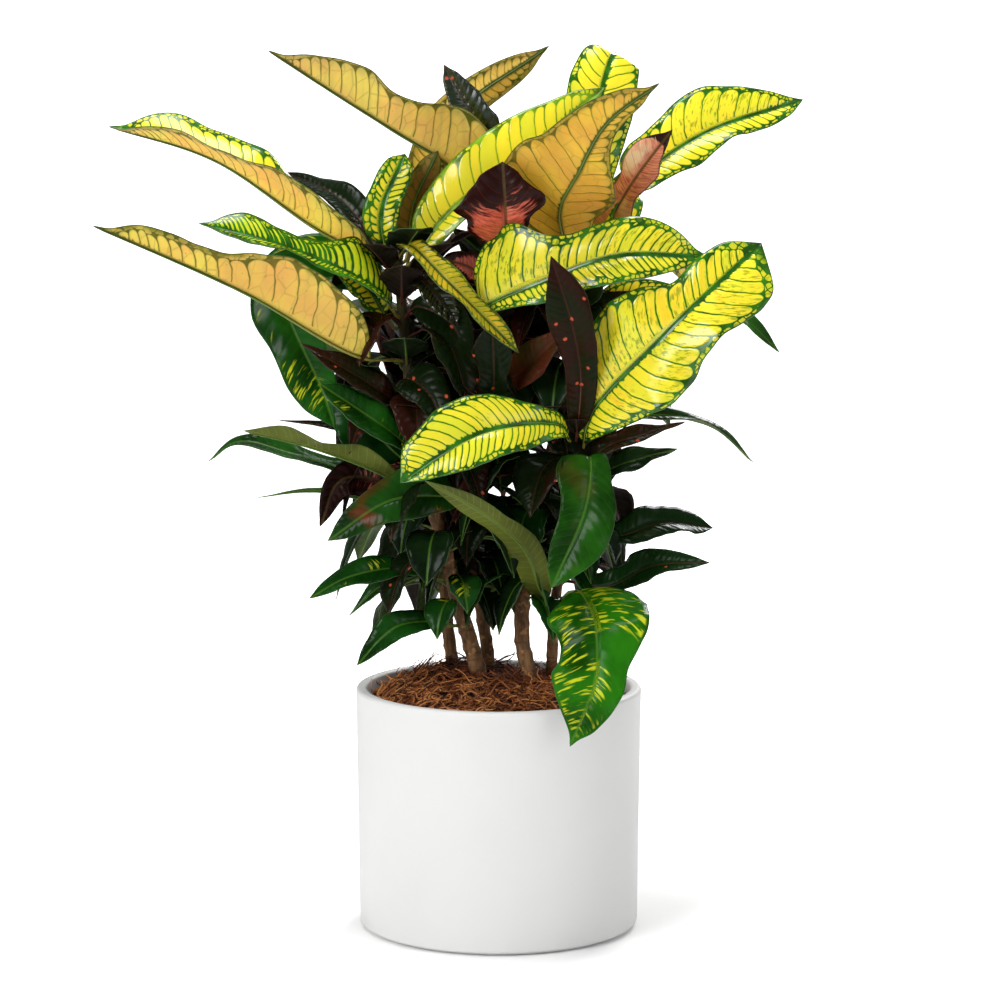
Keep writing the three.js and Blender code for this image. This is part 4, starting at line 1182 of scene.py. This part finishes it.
class CROTON_OT_pot(bpy.types.Operator):
    """Turns the pot, with its rounded lip and its foot ring"""
    bl_idname = "croton.pot"
    bl_label = "Pot"

    def execute(self, context):
        s = settings().pot
        outer, _, top = round_box("pot")
        base = outer - BODY_TAPER
        foot = base - s.foot_inset
        raised = s.foot_height
        inner = outer - s.wall
        bead = s.lip * 0.8

        profile = [(0, raised), (foot * 0.5, raised * 0.8), (foot - FOOT_RING - 1 * MM, raised * 0.8),
                   (foot - FOOT_RING, 0), (foot - 0.8 * MM, 0), (foot, 0.6 * MM), (foot, raised),
                   (base - HEEL, raised)]
        profile += arc(base - HEEL, raised + HEEL, HEEL, -80, 0, 6)
        profile += [(base + BODY_TAPER * t / 12, top * t / 12) for t in range(1, 11)]
        profile += arc(outer - s.lip, top - s.lip, s.lip, 0, 90, 8)
        profile += arc(inner + bead, top - bead, bead, 90, 180, 7)
        profile += [(inner, top * t / 12) for t in range(11, 1, -1)]
        profile += arc(inner - INNER_HEEL, s.floor + INNER_HEEL, INNER_HEEL, 0, -90, 5)
        profile += [(inner * 0.5, s.floor), (0, s.floor)]
        finish_piece(turned("pot_look", profile, 160), "pot", "pot", skin=glaze_material(), sharp=40)
        return {"FINISHED"}


def soil_material():
    g = Graph("damp_potting_mix")
    shade = g.noise(90, 4, 0.7)
    coat = g.mix(shade.rise(0.3, 0.7), (0.012, 0.007, 0.004), (0.075, 0.042, 0.022))
    coat = g.mix(g.noise(150).rise(0.62, 0.70) * 0.7, coat, (0.16, 0.085, 0.04))
    return g.surface(coat, 0.92, g.bump(g.cells(g.place, 260) + shade, 0.003, 1.0), 0.2)


def coir_material():
    """Each fibre has a tone of its own, from dark brown to straw; fibres in the middle and at the back of the
    pot are made darker with painted shade.
    """
    s = settings().coir
    g = Graph("coir_fibre")
    tone, twist, along = g.attribute("place").parts()
    coat = g.ramp(tone, ((0.0, s.dark), (0.35, (0.34, 0.10, 0.030)), (0.72, s.light),
                         (1.0, (0.84, 0.46, 0.18))))
    streak = g.noise(1.0, 3, at=g.vector(along * 900, twist * 12, tone))
    coat = g.mix(streak.rise(0.3, 0.7, 0.0, 0.45), coat, s.dark)
    return g.surface(coat, 0.72, g.bump(streak, 0.0003, 0.6), 0.3, 0.08)


def mat_material():
    g = Graph("coir_mat")
    x, y, z = g.place.parts()
    warp = g.noise(45) * 0.06
    strand = g.most(g.noise(1.0, 3, at=g.vector((x + warp) * 900, y * 70, z)),
                    g.noise(1.0, 3, at=g.vector(x * 70, (y + warp) * 900, z)))
    # the near-black low end of this ramp is painted shade in the gaps between the strands; the upper stops are
    # the fibres' own browns
    coat = g.ramp(strand, ((0.44, (0.008, 0.003, 0.002)), (0.60, (0.055, 0.016, 0.006)),
                           (0.80, (0.28, 0.09, 0.028))))
    return g.surface(coat, 0.85, g.bump(strand, 0.004, 1.0), 0.2)


COIR_EDGE = 181 * MM                 # height of the coir at the pot's wall
COIR_MOUND = 17 * MM                 # how far it is heaped above that in the middle
COIR_SHADE_REACH = 40 * MM                   # a length that sets how far from the middle the painted shade on the fibres reaches
SECOND_HEAP = (-42 * MM, 30 * MM)
JOINTS = 10                          # bends of a fibre
FIBRE_LOTS = 3                       # pieces that the fibres are shared out to


def coir_height(x, y, reach):
    """The top of the coir: heaped towards the middle and to the left, and uneven."""
    r = np.minimum(np.hypot(x, y) / reach, 1)
    away = (x - SECOND_HEAP[0]) ** 2 + (y - SECOND_HEAP[1]) ** 2
    heap = COIR_MOUND * ((1 - r**2) ** 0.8 + 0.55 * np.exp(-away / (42 * MM) ** 2))
    rough = noise_at(x * 34, y * 34, 2.0) + 0.5 * noise_at(x * 90, y * 90, 5.0)
    return COIR_EDGE + heap + rough * 4.2 * MM * (1 - 0.4 * r)


class CROTON_OT_filling(bpy.types.Operator):
    """Fills the pot: potting mix below, and coir on it"""
    bl_idname = "croton.filling"
    bl_label = "Potting mix and coir"

    def execute(self, context):
        reach, low, top = round_box("potting_mix")
        reach -= CLEAR
        bottom = low + CLEAR
        heel = reach - INNER_HEEL
        profile = [(0, bottom), (reach * 0.6, bottom), (heel, bottom)]
        profile += arc(heel, bottom + INNER_HEEL, INNER_HEEL, -80, 0, 4)
        profile += [(reach, bottom + (top - bottom) * t / 8) for t in range(2, 8)]
        profile += [(reach - 1 * MM, top - 1 * MM)] + [(reach * t / 16, top) for t in range(15, -1, -1)]
        soil = turned("potting_mix_look", profile, 64)
        points = points_of(soil)
        on_top = points[:, 2] > top - 0.5 * MM
        points[on_top, 2] += noise_at(*(points[on_top].T * 80)) * 2 * MM
        place_points(soil, points)
        finish_piece(soil, "potting_mix", "potting_mix", skin=soil_material(), sharp=60)

        reach, low, _ = round_box("coir_mulch")
        reach -= CLEAR
        bottom = low + CLEAR
        profile = [(0, bottom)] + [(reach * t / 8, bottom) for t in range(1, 9)]
        profile += [(reach, COIR_EDGE - 2 * MM)] + [(reach * t / 40, COIR_EDGE) for t in range(40, -1, -1)]
        mat = turned("coir_mat_look", profile, 140)
        points = points_of(mat)
        upper = points[:, 2] > COIR_EDGE - 1 * MM
        points[upper, 2] = coir_height(*points[upper, :2].T, reach)
        place_points(mat, points)
        finish_piece(mat, "coir_mulch", "coir_mulch", skin=mat_material(), sharp=70)
        self.fibres(reach)
        return {"FINISHED"}

    def fibres(self, reach):
        """Loose fibres: one straight tube, copied and curled along a way of its own each time."""
        s = settings().coir
        straight, _ = tube("fibre", [(0, 0, i) for i in range(JOINTS + 1)], [1.0] * (JOINTS + 1), 4)
        clean(straight, closed=True)
        model = points_of(straight)
        faces = [tuple(f.vertices) for f in straight.data.polygons]
        bpy.data.objects.remove(straight)
        level = np.rint(model[:, 2]).astype(int)
        material = coir_material()
        draw = np.random.default_rng(11)
        for lot in range(FIBRE_LOTS):
            points, carried, joined = [], [], []
            for _ in range(s.fibres // FIBRE_LOTS):
                way = self.curl(draw, reach, s.longest)
                east, north = carried_frames(way)
                thick = s.thickness * draw.uniform(0.45, 1.25) * np.linspace(1, 0.55, JOINTS + 1)
                ring = (east[level] * model[:, :1] + north[level] * model[:, 1:2]) * thick[level][:, None]
                start = len(points) * len(model)
                points.append(way[level] + ring)
                # a fibre's own random tone, times the painted shade under the plant
                tone = draw.beta(1.3, 1.7) * self.painted_shade_factor(way)
                carried.append(np.column_stack([np.full(len(model), tone), model[:, 0],
                                                level * 0.004 + draw.uniform(0, 9)]))
                joined += [tuple(v + start for v in face) for face in faces]
            mesh = bpy.data.meshes.new(f"coir_fibres_{lot + 1}")
            mesh.from_pydata(np.vstack(points).tolist(), [], joined)
            piece = bpy.data.objects.new(mesh.name, mesh)
            bpy.context.scene.collection.objects.link(piece)
            carry(piece, "place", *np.vstack(carried).T)
            finish_piece(piece, "coir_mulch", skin=material)

    def painted_shade_factor(self, way):
        """How pale a fibre is: those in the middle and at the back are darkened with painted shade, where the
        plant's shadow falls.
        """
        x, y = way.mean(axis=0)[:2]
        return float(np.clip(abs(x) / (2 * COIR_SHADE_REACH) - 0.6 * y / COIR_SHADE_REACH, 0.0, 0.75)) + 0.25

    def curl(self, draw, reach, longest):
        """The way of one fibre: it lies on the heap, wanders, and some of them stand up."""
        size = longest * draw.uniform(0.35, 1.0)
        radius = reach * 0.97 * math.sqrt(draw.uniform(0, 1))
        turn = draw.uniform(0, FULL_TURN)
        heading = draw.uniform(0, FULL_TURN)
        bend = draw.normal(0, 3.0)
        wave = draw.uniform(0.2, 0.9)
        spin = draw.uniform(3, 9)
        phase = draw.uniform(0, 6.3)
        stand = draw.uniform(0, 1) ** 3 * 1.2
        t = np.linspace(0, 1, JOINTS + 1)
        aim = heading + bend * t[:-1] + wave * np.sin(spin * t[:-1] + phase)
        steps = size / JOINTS * np.column_stack([np.cos(aim), np.sin(aim)])
        flat = np.cumsum(np.vstack([[radius * math.cos(turn), radius * math.sin(turn)], steps]), axis=0)
        far = np.hypot(*flat.T)
        flat *= np.minimum(1, (reach - 1.5 * MM) / np.maximum(far, MM))[:, None]
        hop = draw.uniform(0.5, 3.2) * MM * np.sin(math.pi * t) + draw.uniform(-1.0, 1.6) * MM
        return np.column_stack([flat, coir_height(*flat.T, reach) + hop + stand * size * t**1.5 * 0.5])


# ---------------------------------------------------------------- stage

FLOOR_SPAN = 12.0                    # half the width of the floor, and how far it comes forward
BACKDROP_LENGTH = 21.0
BACKDROP_START = 3.0                 # where the floor starts to turn up behind the plant
BACKDROP_BEND = 1.5                  # radius of that turn
LIGHTS = (("key", (-1.9, -2.1, 1.7), 1.5, 58), ("fill", (2.2, -1.6, 1.4), 1.6, 15),
          ("top", (-0.3, 0.1, 2.6), 1.2, 46), ("back", (0.9, 2.0, 1.7), 1.2, 48))
AIM = Vector((0, 0, 0.38))           # the middle of the plant, which every light points at


def paper_material():
    """A matt pale paper with a painted glow that only the camera sees: faint at the pot's foot and stronger
    further out, where it washes out the plant's cast shadow.
    """
    g = Graph("paper")
    shade = settings().stage.floor
    x, y, _ = g.place.parts()
    reach = g.math("SQRT", x * x + y * y)
    seen = Value(g, g.node("LightPath").outputs["Is Camera Ray"])
    # painted glow: emission for camera rays only, low near the pot so that the contact shadow stays, higher
    # further out
    painted_glow = reach.rise(0.11, 0.36, 0.06, 0.56) + reach.rise(0.8, 3.5, 0.0, 0.5)
    return g.surface(g.mix(g.noise(2), shade, scaled(shade, 0.99)), 0.9, None, 0.1,
                     Emission_Color=(1, 1, 1), Emission_Strength=seen * painted_glow)


class CROTON_OT_stage(bpy.types.Operator):
    """Sets the pale floor and backdrop, the soft studio lights and the camera"""
    bl_idname = "croton.stage"
    bl_label = "Stage"

    def execute(self, context):
        floor, across, along = sheet("floor", 8, 100)
        past = along * BACKDROP_LENGTH - FLOOR_SPAN - BACKDROP_START
        turn = np.clip(past / BACKDROP_BEND, 0, math.pi / 2)
        y = np.minimum(past, 0) + BACKDROP_START + BACKDROP_BEND * np.sin(turn)
        z = BACKDROP_BEND * (1 - np.cos(turn)) + np.maximum(past - BACKDROP_BEND * math.pi / 2, 0)
        place_points(floor, np.column_stack([across * FLOOR_SPAN, y, z - 0.02 * MM]))
        bpy.ops.object.shade_smooth()
        floor.data.materials.append(paper_material())

        for name, place, size, power in LIGHTS:
            held = bpy.data.lights.new(name, "AREA")
            held.shape = "DISK"
            held.size = size
            held.energy = power
            lamp = self.linked(context, name, held, place)
            lamp.rotation_euler = (AIM - lamp.location).to_track_quat("-Z", "Y").to_euler()
        context.scene.world = self.sky()

        s = settings().stage
        held = bpy.data.cameras.new("camera")
        held.lens = s.lens
        held.sensor_width = 36
        camera = self.linked(context, "camera", held, (1.1 * MM, -s.distance, s.height))
        camera.rotation_euler = (math.pi / 2 - s.pitch, 0, 0)
        context.scene.camera = camera
        context.scene.view_settings.view_transform = "Standard"
        return {"FINISHED"}

    def linked(self, context, name, held, place):
        made = bpy.data.objects.new(name, held)
        context.scene.collection.objects.link(made)
        made.location = place
        return made

    def sky(self):
        """A white world, which lights the plant less than it shows."""
        world = bpy.data.worlds.new("studio")
        world.use_nodes = True
        tree = world.node_tree
        background = tree.nodes["Background"]
        background.inputs["Color"].default_value = (1, 1, 1, 1)
        seen = tree.nodes.new("ShaderNodeLightPath").outputs["Is Camera Ray"]
        strength = tree.nodes.new("ShaderNodeMapRange")
        strength.inputs["To Min"].default_value = 0.22
        strength.inputs["To Max"].default_value = 1.0
        tree.links.new(seen, strength.inputs["Value"])
        tree.links.new(strength.outputs[0], background.inputs["Strength"])
        return world


# ---------------------------------------------------------------- panel and run

class CROTON_PT_panel(bpy.types.Panel):
    """Lists the pieces in the sidebar"""
    bl_idname = "CROTON_PT_panel"
    bl_label = "Potted croton"
    bl_space_type = "VIEW_3D"
    bl_region_type = "UI"
    bl_category = "Croton"

    def draw(self, context):
        held = context.scene.croton
        for group in (held.pot, held.coir, held.stem, held.leaf, held.stage):
            box = self.layout.box()
            for key in group.bl_rna.properties.keys():
                if key not in ("rna_type", "name"):
                    box.prop(group, key)
        for maker in OPERATORS:
            self.layout.operator(maker.bl_idname)


OPERATORS = (CROTON_OT_stage, CROTON_OT_pot, CROTON_OT_filling, CROTON_OT_stems, CROTON_OT_leaves,
             CROTON_OT_inner_leaves)
CLASSES = (CrotonPotSettings, CrotonCoirSettings, CrotonStemSettings, CrotonLeafSettings,
           CrotonStageSettings, CrotonSettings, *OPERATORS, CROTON_PT_panel)


def register():
    for kind in CLASSES:
        bpy.utils.register_class(kind)
    bpy.types.Scene.croton = bpy.props.PointerProperty(type=CrotonSettings)


def unregister():
    del bpy.types.Scene.croton
    for kind in reversed(CLASSES):
        bpy.utils.unregister_class(kind)


def main():
    register()
    bpy.ops.croton.stage()
    bpy.ops.croton.pot()
    bpy.ops.croton.filling()
    bpy.ops.croton.stems()
    bpy.ops.croton.leaves()
    bpy.ops.croton.inner_leaves()


if __name__ == "__main__":
    main()
